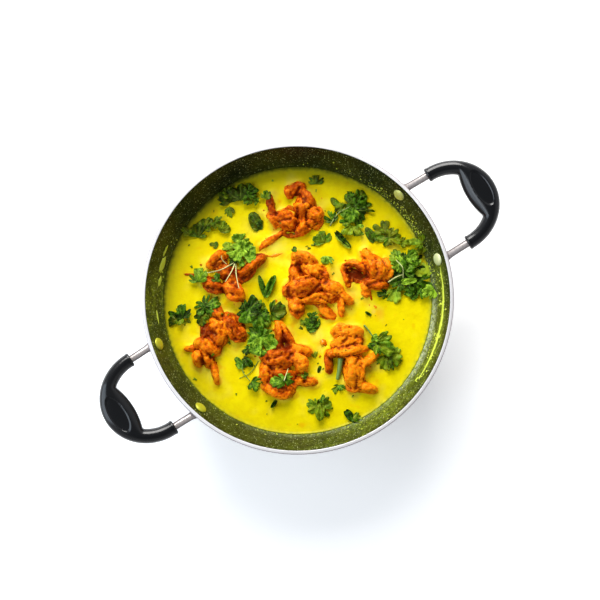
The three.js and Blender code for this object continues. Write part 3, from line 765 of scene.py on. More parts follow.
def leaf_finish():
    """Coriander: tone runs from dark to pale green, with paler ribs and curry haze. The tone also paints each
    leaf's light and shade: pale for a leaf with a sheen, dark for one in shade under others.
    """
    waxy = {"Roughness": 0.36, "Specular IOR Level": 0.35, "Specular Tint": (0.8, 1.0, 0.3, 1)}
    material, tree, shader = finish("coriander_leaf", **waxy)
    mottle = between(tree, grain(tree, 360, 4, 0.75), 0.32, 0.68, -0.34, 0.34)
    tone = maths(tree, "ADD", kept(tree, "tone"), mottle)
    base = layered(
        tree,
        (0.0035, 0.016, 0.0004),
        (between(tree, tone, -0.05, 0.5), (0.055, 0.165, 0.002)),
        (between(tree, tone, 0.42, 1.0), (0.32, 0.52, 0.028)),
        (kept(tree, "rib"), (0.36, 0.50, 0.05)),
        (kept(tree, "haze"), (0.42, 0.40, 0.006)),
    )
    coloured(tree, shader, base)
    bumped(tree, shader, grain(tree, 560, 4, 0.65), 0.55, 0.8)
    return material


def stem_finish():
    """Pale green stalks."""
    material, tree, shader = finish("coriander_stem", **{"Roughness": 0.4, "Specular IOR Level": 0.3})
    coloured(tree, shader, blended(tree, kept(tree, "tone"), (0.06, 0.19, 0.008), (0.80, 0.80, 0.32)))
    return material


def dried_finish():
    """Curry dried on the wall."""
    material, tree, shader = finish("dried_kadhi", **{"Roughness": 0.45, "Specular IOR Level": 0.3})
    coloured(tree, shader, blended(tree, grain(tree, 300, 3), (0.46, 0.56, 0.02), (0.74, 0.84, 0.12)))
    return material


def oil_finish():
    """Chilli-tinted oil in thin lenses."""
    tinted = {"Base Color": (0.80, 0.25, 0.003, 1), "Roughness": 0.16, "Specular IOR Level": 0.3}
    return finish("chilli_oil", **tinted)[0]


LINING, ENAMEL, RIM = lining_finish(), enamel_finish(), rim_finish()
RIVET, ROD, GRIP = rivet_finish(), rod_finish(), grip_finish()
KADHI, CRUST, DRIED, OIL = kadhi_finish(), crust_finish(), dried_finish(), oil_finish()
LEAF, STEM = leaf_finish(), stem_finish()

# --- Pan ---


def wall_line(share, out=0.0):
    """The inside of the wall from the flat floor to the mouth, moved out by a distance: a cubic through
    four held points, level at the floor and leaning out at the mouth. Radius and height."""
    foot = np.array([FLOOR_RADIUS, FLOOR])
    mouth = np.array([MOUTH_RADIUS, RIM_HEIGHT])
    by_foot = foot + [FLOOR_PULL, 0]
    by_mouth = mouth - [WALL_PULL * math.sin(WALL_LEAN), WALL_PULL * math.cos(WALL_LEAN)]
    t = np.asarray(share, float)[:, None]
    s = 1 - t
    place = s**3 * foot + 3 * t * s**2 * by_foot + 3 * t**2 * s * by_mouth + t**3 * mouth
    along = unit(s**2 * (by_foot - foot) + 2 * t * s * (by_mouth - by_foot) + t**2 * (mouth - by_mouth))
    outward = np.column_stack([along[:, 1], -along[:, 0]])
    return place + out * outward, outward


SHARES = np.linspace(0, 1, 2001)
WALL_TABLE = wall_line(SHARES)


def wall_at(height):
    """Radius of the inside of the wall, and its way out as (radius part, height part)."""
    radius = np.interp(height, WALL_TABLE[0][:, 1], WALL_TABLE[0][:, 0])
    out = [np.interp(height, WALL_TABLE[0][:, 1], WALL_TABLE[1][:, k]) for k in (0, 1)]
    return radius, np.stack(out, axis=-1)


def arc(centre, radius, start, end, count):
    """Part of a circle in (radius, height), from one angle to another in degrees."""
    turn = np.radians(np.linspace(start, end, count))
    return np.column_stack([centre[0] + radius * np.cos(turn), centre[1] + radius * np.sin(turn)])


# The dried line: height where it starts, how far it falls, and the directions it runs between, in degrees.
LINE_HEIGHT = 73.0
LINE_FALL = 1.8
LINE_FROM = 12
LINE_TO = -34


def dried_height(degrees):
    """Height on the wall, by direction, of the line that the curry left where it stood higher."""
    return LINE_HEIGHT - LINE_FALL * (LINE_FROM - degrees) / (LINE_FROM - LINE_TO)


# How strong the olive coat of curry on the wall is, by direction in degrees. Its strength also paints the
# light on the wall: strong on the lit right, weak on the far side, which lies in shade.
WALL_COAT_AND_LIGHT = [
    (0, 0.40), (20, 0.15), (50, 0.06), (90, 0.03), (135, 0.03), (165, 0.22), (182, 0.60), (197, 0.22),
    (225, 0.12), (250, 0.13), (275, 0.22), (300, 0.46), (330, 0.52), (360, 0.40),
]


def coat_and_light_on_wall(turn, over, streak):
    """The coat by direction, streaked round the wall, less of it at the mouth on the far side, and thick just
    over the curry. By direction it also paints light and shade on the wall."""
    held = np.array(WALL_COAT_AND_LIGHT)
    # Painted light and shade: strong on the lit right and weak on the shaded far side.
    film_and_painted_light = np.interp(np.degrees(turn) % 360, held[:, 0], held[:, 1])
    film_and_painted_light = film_and_painted_light * (1 + 0.7 * swell(streak, 71) + 0.5 * swell(streak * 2.7, 72)) + 0.05 * swell(streak, 74)
    film_and_painted_light += (0.22 + 0.9 * film_and_painted_light) * np.exp(-np.maximum(over + 1.8 * swell(streak * 3, 73), 0) / 2.6)
    return film_and_painted_light * (1 - 0.45 * smooth_step(19, 25, over) * (np.cos(turn - math.radians(45)) > -0.3))


# How many points a ring round the pan has.
PAN_POINTS = 288


def lining_state(points):
    """Numbers for the lining's finish: the coat of curry, thicker along the dried line, whose strength also
    paints the light and shade round the wall; the painted sheen on the near right; and the splashes over the
    curry on the far right."""
    turn, radius = np.arctan2(points[:, 1], points[:, 0]), np.hypot(points[:, 0], points[:, 1])
    streak = np.column_stack([radius * np.cos(turn) / 22, radius * np.sin(turn) / 22, points[:, 2] / 5])
    over = points[:, 2] - CURRY_LEVEL
    film_and_painted_light = coat_and_light_on_wall(turn, over, streak)
    # Painted sheen of light on the wall on the near right, just above the curry.
    painted_sheen = np.exp(-(((turn - math.radians(-17)) / 0.33) ** 2)) * smooth_step(11, 4, over)
    painted_sheen += 0.30 * smooth_step(0.2, 1, np.cos(turn - math.radians(-50))) * smooth_step(9, 3, over)
    degrees = np.degrees(turn)
    by_line = 0.6 * np.exp(-(((points[:, 2] - dried_height(degrees)) / 2.2) ** 2))
    film_and_painted_light += by_line * smooth_step(-42, -20, degrees) * (turn < 0.3)
    splashed = np.exp(-(((turn - math.radians(34)) / 0.48) ** 2))
    splashed *= smooth_step(19, 3, over + 3 * swell(streak, 75))
    flecks = np.maximum(0.85 * smooth_step(0.16, 0.5, film_and_painted_light), 0.95 * splashed)
    return {"film_and_painted_light": np.clip(film_and_painted_light, 0, 1), "painted_sheen": np.clip(painted_sheen, 0, 1), "flecks": flecks}


def make_bowl():
    """The bowl: foot, coat, lip, lining and floor as one outline turned round the axis."""
    foot = [[0, 0.25], [BASE_RADIUS - 1.6, 0.25], [BASE_RADIUS - 0.5, 0.5], [BASE_RADIUS, 1.2]]
    outer = wall_line(np.linspace(0.115, 0.965, 26), WALL)[0]
    lip = [
        [RIM_RADIUS - 0.75, RIM_HEIGHT - 2.6],
        [RIM_RADIUS - 1.2, RIM_HEIGHT - 0.9],
        [MOUTH_RADIUS + 0.5, RIM_HEIGHT - 0.5],
    ]
    inner = wall_line(np.linspace(1, 0, 40))[0]
    inside_floor = [[40, FLOOR], [20, FLOOR], [0, FLOOR]]
    points, faces = turned(np.vstack([foot, outer, lip, inner, inside_floor]), PAN_POINTS)
    bowl = mesh_of("bowl", (points, faces), lining_state(points))
    piece("pan_bowl", bowl, [ENAMEL, LINING], ["pan"], sharp=40)
    centres, normals = taken(bowl.polygons, "center"), taken(bowl.polygons, "normal")
    inward = (centres[:, :2] * normals[:, :2]).sum(1) < 0
    lined = inward | ((normals[:, 2] > 0.9) & (centres[:, 2] < 0.02))
    bowl.polygons.foreach_set("material_index", lined.astype(np.int32))


def make_edge():
    """The bare edge: a rounded ring on the lip, its outer round painted darker as shade."""
    start = [[MOUTH_RADIUS + 0.7, RIM_HEIGHT - 1.6]]
    outline = np.vstack(
        [
            start,
            [[RIM_RADIUS - 0.6, RIM_HEIGHT - 2.9]],
            arc((RIM_RADIUS - 0.75, RIM_HEIGHT - 2.2), 0.75, -60, 0, 4),
            arc((RIM_RADIUS - 1.1, RIM_HEIGHT - 1.1), 1.1, 10, 90, 7),
            arc((MOUTH_RADIUS + 0.75, RIM_HEIGHT - 0.6), 0.6, 90, 180, 6),
            start,
        ]
    )
    points, faces = turned(outline, PAN_POINTS)
    # Painted shade on the outer round of the edge.
    outer_round_shade = smooth_step(RIM_RADIUS - 1.3, RIM_RADIUS - 0.5, np.hypot(points[:, 0], points[:, 1]))
    piece("pan_edge", mesh_of("edge", (points, faces), {"outer_round_shade": outer_round_shade}), [RIM], ["pan"], sharp=50)


def make_base():
    """The machined base: a thin disc with the fine rings that turning leaves."""
    count = 60
    ridges = np.linspace(6, BASE_RADIUS - 3, count)
    turned_face = np.column_stack([ridges, 0.06 * (np.arange(count) % 2)])
    edge = [[BASE_RADIUS - 1.9, 0.0], [BASE_RADIUS - 1.7, 0.4], [0, 0.4]]
    base = turned(np.vstack([[[0, 0]], turned_face, edge]), 160)
    piece("pan_base", mesh_of("base", base), [RIM], ["pan"], sharp=30)


# --- Handles ---


def rivet_seat(angle):
    """Where a rivet meets the inside of the wall, with its ways out, across and up."""
    radius, out = wall_at(RIVET_HEIGHT)
    outward = np.array([out[0] * math.cos(angle), out[0] * math.sin(angle), out[1]])
    across = np.array([-math.sin(angle), math.cos(angle), 0])
    place = np.array([radius * math.cos(angle), radius * math.sin(angle), RIVET_HEIGHT])
    return place, outward, across, np.cross(outward, across)


def rivet_shape(side):
    """A rivet turned round its own axis: domed head inside the pan, shank, domed tail outside."""
    place, outward, across, up = rivet_seat(side * RIVET_SPREAD)
    turn = np.linspace(0, math.pi / 2, 9)
    depth = WALL + EAR_THICKNESS + 3 * EAR_GAP
    head = np.column_stack([HEAD_RADIUS * np.cos(turn), EAR_GAP + HEAD_RISE * np.sin(turn)])
    tail = np.column_stack([TAIL_RADIUS * np.cos(turn[::-1]), -depth - TAIL_RISE * np.sin(turn[::-1])])
    shank = [[SHANK_RADIUS, -depth], [SHANK_RADIUS, 0.1], [HEAD_RADIUS - 0.3, 0.05]]
    profile = np.vstack([tail, shank, head])
    points, faces = turned(profile, 36)
    return frame_of(points, across, -up, -outward, place), faces


# How many points a ring round a rod and round a grip has.
ROD_POINTS = 28
GRIP_POINTS = 128

# The collar at the end of each arm of a grip, by ring: how far along it lies and how far it stands proud.
COLLAR_SHIFTS = [-2.4, -2.1, -1.2, -0.3, 0.0]
COLLAR_RISES = [-0.9, -0.1, 0.3, 0.25, -0.25]


def ear_middle(side):
    """The middle of an ear on the outside of the wall, with its ways out, across and up."""
    place, outward, across, up = rivet_seat(side * RIVET_SPREAD)
    return place + outward * (WALL + EAR_GAP + EAR_THICKNESS / 2), outward, across, up


def ear_shape(side):
    """The flat ear under a rivet: a plate with a round foot and square top, its edges rounded over."""
    middle, outward, across, up = ear_middle(side)
    corner = EAR_WIDTH / 2
    turn = np.linspace(math.pi, 2 * math.pi, 24)
    foot = np.column_stack([corner * np.cos(turn), corner - EAR_BELOW + corner * np.sin(turn)])
    outline = np.vstack([foot, [[corner, EAR_ABOVE]], [[-corner, EAR_ABOVE]]])
    rings = []
    for face in (-1, 1):
        steps = ((0.5, 0), (0.12, 0.12), (0, 0.5))
        for inset, below_face in steps[::-face]:
            depth = face * (EAR_THICKNESS / 2 - below_face)
            flat = outline * (1 - inset / corner)
            rings.append(np.column_stack([flat, np.full(len(flat), depth)]))
    points, faces = skin(np.array(rings))
    return frame_of(points, across, up, outward, middle), faces


def rod_path(side, start):
    """The rod's middle line from the top of its ear, over a knee, straight into the grip."""
    middle, _, _, up = ear_middle(side)
    grip_axis = (GRIP_HALF_WIDTH + HOLLOW_HALF_WIDTH) / 2

    def on_grip(distance):
        """The grip's axis at a distance from its start."""
        x = start + distance * math.cos(HANDLE_RISE)
        return np.array([x, side * grip_axis, GRIP_START_HEIGHT + distance * math.sin(HANDLE_RISE)])

    bend = middle + up * (EAR_ABOVE + 1)
    knee = bend + KNEE_SHARE * (on_grip(0) - bend)
    knee[2] = bend[2] + KNEE_RISE
    return curve_through([middle + up * (EAR_ABOVE - 2.5), bend, knee, on_grip(-6), on_grip(7)], 14)


def rod_shape(side, start):
    """A steel rod: an oval profile, flat and wide at the ear and rounding into the rod, carried along its
    path. Returns it with its ear, and how much painted shade each point takes at the end by the wall."""
    _, _, across, _ = ear_middle(side)
    path = rod_path(side, start)
    share = np.linspace(0, 1, len(path))[:, None]
    along = unit(np.gradient(path, axis=0))
    level = unit(across + (np.array([0, 1.0, 0]) - across) * np.minimum(1, 2 * share))
    over = unit(np.cross(along, level))
    rounding = smooth_step(0.06, 0.5, share)
    half_width = EAR_WIDTH / 2 - EAR_INSET + (ROD_RADIUS - EAR_WIDTH / 2 + EAR_INSET) * rounding
    half_depth = EAR_THICKNESS / 2 + (ROD_RADIUS - EAR_THICKNESS / 2) * rounding
    angle = np.linspace(0, 2 * np.pi, ROD_POINTS, endpoint=False)[None, :, None]
    wide = half_width[:, None] * np.cos(angle) * level[:, None]
    deep = half_depth[:, None] * np.sin(angle) * over[:, None]
    ear = ear_shape(side)
    # Painted shade: the rod darkens towards its end by the wall, and the ear is dark all over.
    wall_end_shade_along = np.repeat(smooth_step(0.5, 0.15, share[:, 0]), ROD_POINTS)
    heat = np.concatenate([wall_end_shade_along, [1, 0], np.ones(len(ear[0]))])
    return (*together([skin(path[:, None] + (wide + deep)), ear]), heat)


def soft_min(a, b, blend):
    """The smaller of two lengths, with a rounded change-over."""
    mix = np.clip(0.5 + (b - a) / (2 * blend), 0, 1)
    return b + (a - b) * mix - blend * mix * (1 - mix)


def grip_shape(start):
    """Rounded sections along the outline of the grip. At a turn from -90 to 90 degrees the outer point is on
    an ellipse, and the inner one on the smaller of a hollow's ellipse and the bulging edge of the pad. The
    thumb rest steps down inside an oval and then sinks by a parabola. A raised collar ends each arm."""
    quarter = math.pi / 2
    body = np.linspace(-quarter, quarter, 221)
    ends, level = len(COLLAR_SHIFTS), np.zeros(len(body))
    turn = np.concatenate([np.full(ends, -quarter), body, np.full(ends, quarter)])[:, None]
    shift = np.concatenate([COLLAR_SHIFTS, level, COLLAR_SHIFTS[::-1]])[:, None]
    proud = np.concatenate([COLLAR_RISES, level, COLLAR_RISES[::-1]])[:, None]
    outer = np.stack([GRIP_REACH * np.cos(turn), GRIP_HALF_WIDTH * np.sin(turn)], axis=-1)
    across = HOLLOW_HALF_WIDTH * np.sin(turn)
    reach = soft_min(HOLLOW_REACH * np.cos(turn), PAD_REACH + PAD_BULGE * across**2, PAD_BLEND)
    inner = np.stack([reach, across], axis=-1)
    middle, half = (outer + inner) / 2, (outer - inner) / 2
    middle = middle + np.stack([shift, np.zeros_like(shift)], axis=-1)
    width = np.linalg.norm(half, axis=-1)
    thickness = ARM_HALF_THICKNESS + (PAD_HALF_THICKNESS - ARM_HALF_THICKNESS) * np.cos(turn) ** 2
    angle = np.linspace(0, -2 * np.pi, GRIP_POINTS, endpoint=False)[None, :]
    out = np.cos(angle) * (1 + proud / width)
    height = np.sin(angle) * (thickness + proud)
    plan = middle + half * out[..., None]
    dish = 1 - ((plan[..., 0] - DISH_REACH) / DISH_HALF_WIDTH) ** 2 - (plan[..., 1] / DISH_HALF_LENGTH) ** 2
    sunk = DISH_DEPTH * (0.55 * smooth_step(0, 0.3, dish) + 0.45 * np.clip(dish, 0, None))
    height = np.where(height > 0, height - sunk, height)
    c, s = math.cos(HANDLE_RISE), math.sin(HANDLE_RISE)
    rings = np.stack(
        [
            start + plan[..., 0] * c - height * s,
            plan[..., 1],
            GRIP_START_HEIGHT + plan[..., 0] * s + height * c,
        ],
        axis=-1,
    )
    return skin(rings)


# How strong the yellow coat on each rivet is: a painted reflection of the curry.
RIVET_PAINTED_REFLECTION = [0.32, 0.85, 1.25, 1.25]


def make_handles():
    """Both handles: a grip, two rods with their ears, and two rivets each, turned to their directions."""
    for number, (direction, start) in enumerate(zip(HANDLE_DIRECTIONS, GRIP_STARTS), 1):
        points, faces = grip_shape(start)
        mesh = mesh_of("grip", (spun(points, direction), faces))
        piece(f"handle_grip_{number}", mesh, [GRIP], [f"grip_{number}"], sharp=50)
        for side, offset in ((-1, 1), (1, 2)):
            count = 2 * (number - 1) + offset
            points, faces, heat = rod_shape(side, start)
            mesh = mesh_of("rod", (spun(points, direction), faces), {"heat": heat})
            piece(f"handle_rod_{count}", mesh, [ROD], [f"rod_{count}"], sharp=45)
            points, faces = rivet_shape(side)
            film_and_painted_light = np.full(len(points), RIVET_PAINTED_REFLECTION[count - 1])
            mesh = mesh_of("rivet", (spun(points, direction), faces), {"film_and_painted_light": film_and_painted_light})
            piece(f"wall_rivet_{count}", mesh, [RIVET], [f"rivet_{count}"], sharp=45)


# --- Fritters ---


# How much wider across than its radius a lump is, and how many points its rings have and how many rings.
LUMP_WIDENING = 1.04
LUMP_POINTS = 28
LUMP_RINGS = 17

# Edge of the voxels that lumps and strands are made one skin with.
VOXEL = 0.52


def lump_frame(lump):
    """The middle of a lump, the angle of its long axis, and its half length and half height."""
    from_x, from_y, to_x, to_y, radius, rise = lump
    way = math.atan2(to_y - from_y, to_x - from_x)
    long = math.hypot(to_x - from_x, to_y - from_y) / 2 + radius
    tall = (rise + max(4.0, 1.3 * radius)) / 2
    return (from_x + to_x) / 2, (from_y + to_y) / 2, way, long, tall


def from_lump(lump, x, y):
    """Places counted from the middle of a lump, along it and across it."""
    middle_x, middle_y, way, _, _ = lump_frame(lump)
    dx, dy = x - middle_x, y - middle_y
    return dx * math.cos(way) + dy * math.sin(way), dy * math.cos(way) - dx * math.sin(way)


def lump_shape(lump, seed):
    """A long egg: half axes from the lump's length and radius, its foot in the curry, its skin swollen by
    smooth noise."""
    middle_x, middle_y, way, long, tall = lump_frame(lump)
    radius, rise = lump[4:]
    lat = np.linspace(-np.pi / 2, np.pi / 2, LUMP_RINGS)[:, None]
    lon = np.linspace(0, 2 * np.pi, LUMP_POINTS, endpoint=False)[None, :]
    x = np.cos(lat) * np.cos(lon) * long
    y = np.cos(lat) * np.sin(lon) * radius * LUMP_WIDENING
    z = np.sin(lat) * np.ones_like(lon) * tall
    points = np.stack([x, y, z], axis=-1).reshape(-1, 3)
    points *= 1 + 0.13 * swell(points / radius * 1.1 + seed, seed)[:, None]
    return spun(points, way) + [middle_x, middle_y, rise - tall], sheet_faces(LUMP_RINGS, LUMP_POINTS, True)


def height_over(lumps, x, y):
    """Height of the lumps' upper skins over the curry at each place, or -4 off them."""
    best = np.full(np.shape(x), -4.0)
    for lump in lumps:
        long, tall = lump_frame(lump)[3:]
        radius, rise = lump[4:]
        u, v = from_lump(lump, x, y)
        under = 1 - (u / long) ** 2 - (v / (radius * LUMP_WIDENING)) ** 2
        skin_height = rise - tall + tall * np.sqrt(np.maximum(under, 0))
        best = np.where(under > 0, np.maximum(best, skin_height), best)
    return best


def strand(path, half, ground, lift):
    """A bent tube laid on the lumps along level places: its height follows them smoothly, its ends dip."""
    share = np.linspace(-1, 1, len(path))
    height = np.maximum(ground, 0.2 * half)
    height = np.convolve(np.pad(height, 3, mode="edge"), np.ones(7) / 7, mode="valid") + lift * half
    height = height * (1 - 0.3 * share**8)
    taper = half * (1 - 0.6 * np.abs(share) ** 3)
    return tube(np.column_stack([path[:, 0], path[:, 1], height]), taper * 1.2, taper * 0.7, 12)


def laid_strands(name, place, lumps):
    """The strands of the table, as tubes on the lumps."""
    shapes = []
    for half, _, places in FOLDS[name]:
        path = level_path(places, 9)[:, :2] - place
        shapes.append(strand(path, half, height_over(lumps, path[:, 0], path[:, 1]), 0.1))
    return shapes


def stray_strands(lumps, seed):
    """Thin slices of onion in batter, strewn along the lumps."""
    chance = np.random.default_rng(seed)
    area = np.array([(math.hypot(c - a, d - b) + 2 * r) * r for a, b, c, d, r, _ in lumps])
    shapes = []
    for pick in chance.choice(len(lumps), int(area.sum() / 46), p=area / area.sum()):
        from_x, from_y, to_x, to_y, radius, _ = lumps[pick]
        along = math.atan2(to_y - from_y, to_x - from_x)
        t, spot = chance.uniform(0, 1), chance.uniform(-0.8, 0.8) * radius
        x = from_x + t * (to_x - from_x) - math.sin(along) * spot
        y = from_y + t * (to_y - from_y) + math.cos(along) * spot
        way, reach = along + chance.normal(0, 0.5), chance.uniform(3, 6)
        step = np.linspace(-1, 1, 15)
        bend = chance.normal(0, 0.2) * reach * step**2
        px, py = set_down(reach * step, bend, way, x, y)
        path = np.column_stack([px, py])
        shapes.append(strand(path, chance.uniform(0.55, 1.0), height_over(lumps, px, py), 0.3))
    return shapes


def off_path(points, places, place):
    """Level distance of points from a run of places."""
    path = np.array([on_grid(*p) for p in places]) - place
    if len(path) > 1:
        path = curve_through(np.column_stack([path, 0 * path[:, 0]]), 6)[:, :2]
    return np.sqrt(((points[:, None, :2] - path[None]) ** 2).sum(2).min(1))


def along_lumps(points, lumps):
    """Place of each point along and across the lump it is nearest to."""
    best = np.full(len(points), 1e9)
    along, across = np.zeros(len(points)), np.zeros(len(points))
    for lump in lumps:
        long, radius = lump_frame(lump)[3], lump[4]
        u, v = from_lump(lump, points[:, 0], points[:, 1])
        near = (u / long) ** 2 + (v / radius) ** 2
        along, across = np.where(near < best, u, along), np.where(near < best, v + 30 * radius, across)
        best = np.minimum(near, best)
    return along, across


def mean_of_neighbours(values, pairs):
    """At each point the mean of the points that an edge joins it to, for an array of rows."""
    a, b = pairs[:, 0], pairs[:, 1]
    count = len(values)
    number = np.bincount(a, minlength=count) + np.bincount(b, minlength=count)
    sums = [
        np.bincount(a, values[b, k], minlength=count) + np.bincount(b, values[a, k], minlength=count)
        for k in range(values.shape[1])
    ]
    return np.column_stack(sums) / np.maximum(number, 1)[:, None]


def draft_skin(name, place, lumps, seed):
    """Lumps and strands made one skin and smoothed. Returns its mesh, its points and the pairs of points
    that edges join."""
    shapes = [lump_shape(lump, seed + i) for i, lump in enumerate(lumps)]
    shapes += laid_strands(name, place, lumps) + stray_strands(lumps, seed)
    mesh = settled(name, together(shapes), VOXEL)
    points = taken(mesh.vertices, "co") / MM
    pairs = taken(mesh.edges, "vertices", 2, np.int32)
    for _ in range(12):
        points = 0.4 * points + 0.6 * mean_of_neighbours(points, pairs)
    move_points(mesh, points)
    return mesh, points, pairs


def crust_relief(points, pairs, lumps, seed):
    """How far the skin moves along its normals: long creases (1 - |noise|, drawn out along each lump) and
    finer swells. Returns it with the fibres, the finest of the drawn-out noises."""
    bent = points + 1.2 * np.column_stack([swell(points / 6 + k * 17, seed + k) for k in (1, 2, 3)])
    along, across = along_lumps(bent, lumps)
    creases = 1 - np.abs(swell(np.column_stack([along / 9, across / 3.8, bent[:, 2] / 3.8]), seed + 5)) * 2.2
    fibre = swell(np.column_stack([along / 6, across / 1.25, bent[:, 2] / 1.6]), seed + 10)
    push = 0.24 * creases + 0.42 * swell(points / 4.2, seed + 6) + 0.40 * swell(bent / 1.9, seed + 7)
    push += 0.24 * swell(bent / 0.95, seed + 11) + 0.16 * fibre
    return mean_of_neighbours(push[:, None], pairs)[:, 0], fibre


def sink_holes(points, name, place):
    """Lets the points down at the holes. Returns how much of a hole each point lies in."""
    hole = np.zeros(len(points))
    for radius, depth, places in PITS[name]:
        far = off_path(points, places, place) / radius
        above = points[:, 2] - 1.2
        points[:, 2] -= np.minimum(depth * 0.7 * np.exp(-(far**2)), above) * (above > 0)
        hole = np.maximum(hole, np.exp(-((far / 1.15) ** 2)) * (points[:, 2] > -1) * min(1.0, depth / 3))
    return hole


def fold_depth(points, normals, pairs):
    """How far each point lies under the skin smoothed a little and under it smoothed a lot, about 1 in the
    deepest folds."""
    calm, under = points, []
    for rounds in (10, 30):
        for _ in range(rounds):
            calm = mean_of_neighbours(calm, pairs)
        under.append(((calm - points) * normals).sum(1))
    depth = 0.9 * under[0] + 0.8 * np.clip(under[1], -0.6, 1.6)
    return depth / np.percentile(depth, 93)


def strand_shade(points, name, place, stir):
    """Shade blended from the strands near by, made deeper by what the fritter's own colour asks."""
    weight = np.full(len(points), 0.12)
    shade = weight * (0.60 + 0.25 * stir)
    for half, tone, places in FOLDS[name]:
        pull = np.exp(-((off_path(points, places, place) / (1.25 * half)) ** 2))
        weight += pull
        shade += pull * tone
    return shade / weight - DEEPER[name]


def make_pakora(name, place, lumps, seed):
    """A fritter, its skin creased along its normals and sunk at the holes. Kept at its points: the shade,
    from the strands near by, with painted shade in the folds and painted light on the ridges; the painted
    shade of the folds and holes; and the wet edge."""
    mesh, points, pairs = draft_skin(name, place, lumps, seed)
    normals = taken(mesh.vertices, "normal")
    push, fibre = crust_relief(points, pairs, lumps, seed)
    hole = sink_holes(points, name, place)
    points = points + normals * (push + 0.12)[:, None]
    depth = fold_depth(points, normals, pairs)
    stir = swell(points / 8, seed + 8)
    shade = strand_shade(points, name, place, stir) - 0.04 + 0.18 * swell(points / 2.8, seed + 4)
    shade += 0.08 * stir
    # Painted shade darkens the hollows and painted light brightens the ridges; also darker towards the curry.
    shade += 0.16 * fibre - 0.20 * np.clip(depth, -0.9, 1.2) - 0.22 * smooth_step(3.0, 0.4, points[:, 2])
    points += [place[0], place[1], CURRY_LEVEL]
    move_points(mesh, points)
    # Painted shade in the folds and, below, in the holes.
    fold = 0.68 * smooth_step(0.45, 1.4, depth + 0.2 * stir)
    wet = smooth_step(1.3, 0.1, points[:, 2] - CURRY_LEVEL + 0.9 * swell(points / 3, seed + 9)) * (1 - hole)
    keep(mesh, {"shade": shade, "fold": np.maximum(fold, 0.95 * hole), "wet": 0.5 * wet})
    piece(name + "_crust", mesh, [CRUST], [name])
    return points


# --- Curry ---


def off_lumps(x, y):
    """Rough distance from a place to the nearest fritter's edge at the curry's level."""
    nearest = np.full(np.shape(x), 1e3)
    for (place_x, place_y), lumps in PAKORAS.values():
        for from_x, from_y, to_x, to_y, radius, _ in lumps:
            a = np.array([place_x + from_x, place_y + from_y])
            b = np.array([place_x + to_x, place_y + to_y]) - a
            t = np.clip(((x - a[0]) * b[0] + (y - a[1]) * b[1]) / max(b @ b, 1e-9), 0, 1)
            nearest = np.minimum(nearest, np.hypot(x - a[0] - t * b[0], y - a[1] - t * b[1]) - radius)
    return nearest


def curry_height(x, y):
    """Height of the curry: broad and small swells, a thin layer drawn up at the wall and round the fritters.
    """
    flat = flat_points(x, y)
    off = off_lumps(np.ravel(x), np.ravel(y))
    radius = np.hypot(np.ravel(x), np.ravel(y))
    edge = wall_at(CURRY_LEVEL)[0]
    height = CURRY_LEVEL + 0.28 * swell(flat / 24, 41) + 0.16 * swell(flat / 7, 42)
    height += 0.07 * swell(flat / 2.4, 43)
    height += 0.9 * np.exp(-np.maximum(off, 0) / 1.8) + 0.5 * np.exp(-np.maximum(off, 0) / 7)
    height += CURRY_CLIMB * np.exp(np.minimum(radius - edge, 0) / 1.5)
    return height.reshape(np.shape(x))


# How many points the curry's grid has each way, and the heights of the rings below it.
CURRY_POINTS = 291
CURRY_RINGS = np.array([52.5, 45, 36, 27, 18, 10, 5.5, FLOOR + 0.35])


def curry_shape(reach):
    """A disc whose square grid is bowed out to a circle, its height worked out at each point, with the wall
    line and the floor below it."""
    count = CURRY_POINTS
    u, v = np.meshgrid(np.linspace(-1, 1, count), np.linspace(-1, 1, count))
    x, y = reach * u * np.sqrt(1 - v**2 / 2), reach * v * np.sqrt(1 - u**2 / 2)
    upper = np.column_stack([x.ravel(), y.ravel(), curry_height(x, y).ravel()])
    number = np.arange(count * count).reshape(count, count)
    rim = np.concatenate([number[0, :-1], number[:-1, -1], number[-1, :0:-1], number[:0:-1, 0]])
    radii = wall_at(CURRY_RINGS)[0] - 0.3
    ring = upper[rim] / np.hypot(upper[rim, 0], upper[rim, 1])[:, None]
    below = [np.column_stack([ring[:, :2] * r, np.full(len(rim), h)]) for r, h in zip(radii, CURRY_RINGS)]
    points = np.vstack([upper, *below, [[0, 0, CURRY_RINGS[-1]]]])
    rows = np.vstack([rim, count * count + np.arange(len(below) * len(rim)).reshape(len(below), -1)])
    rows = np.hstack([rows, rows[:, :1]])
    sides = np.stack([rows[:-1, :-1], rows[1:, :-1], rows[1:, 1:], rows[:-1, 1:]], axis=-1).reshape(-1, 4)
    centre = np.full(len(rim), len(points) - 1)
    floor = np.column_stack([rows[-1, 1:], rows[-1, :-1], centre, centre])
    return points, np.vstack([sheet_faces(count, count), sides, floor])


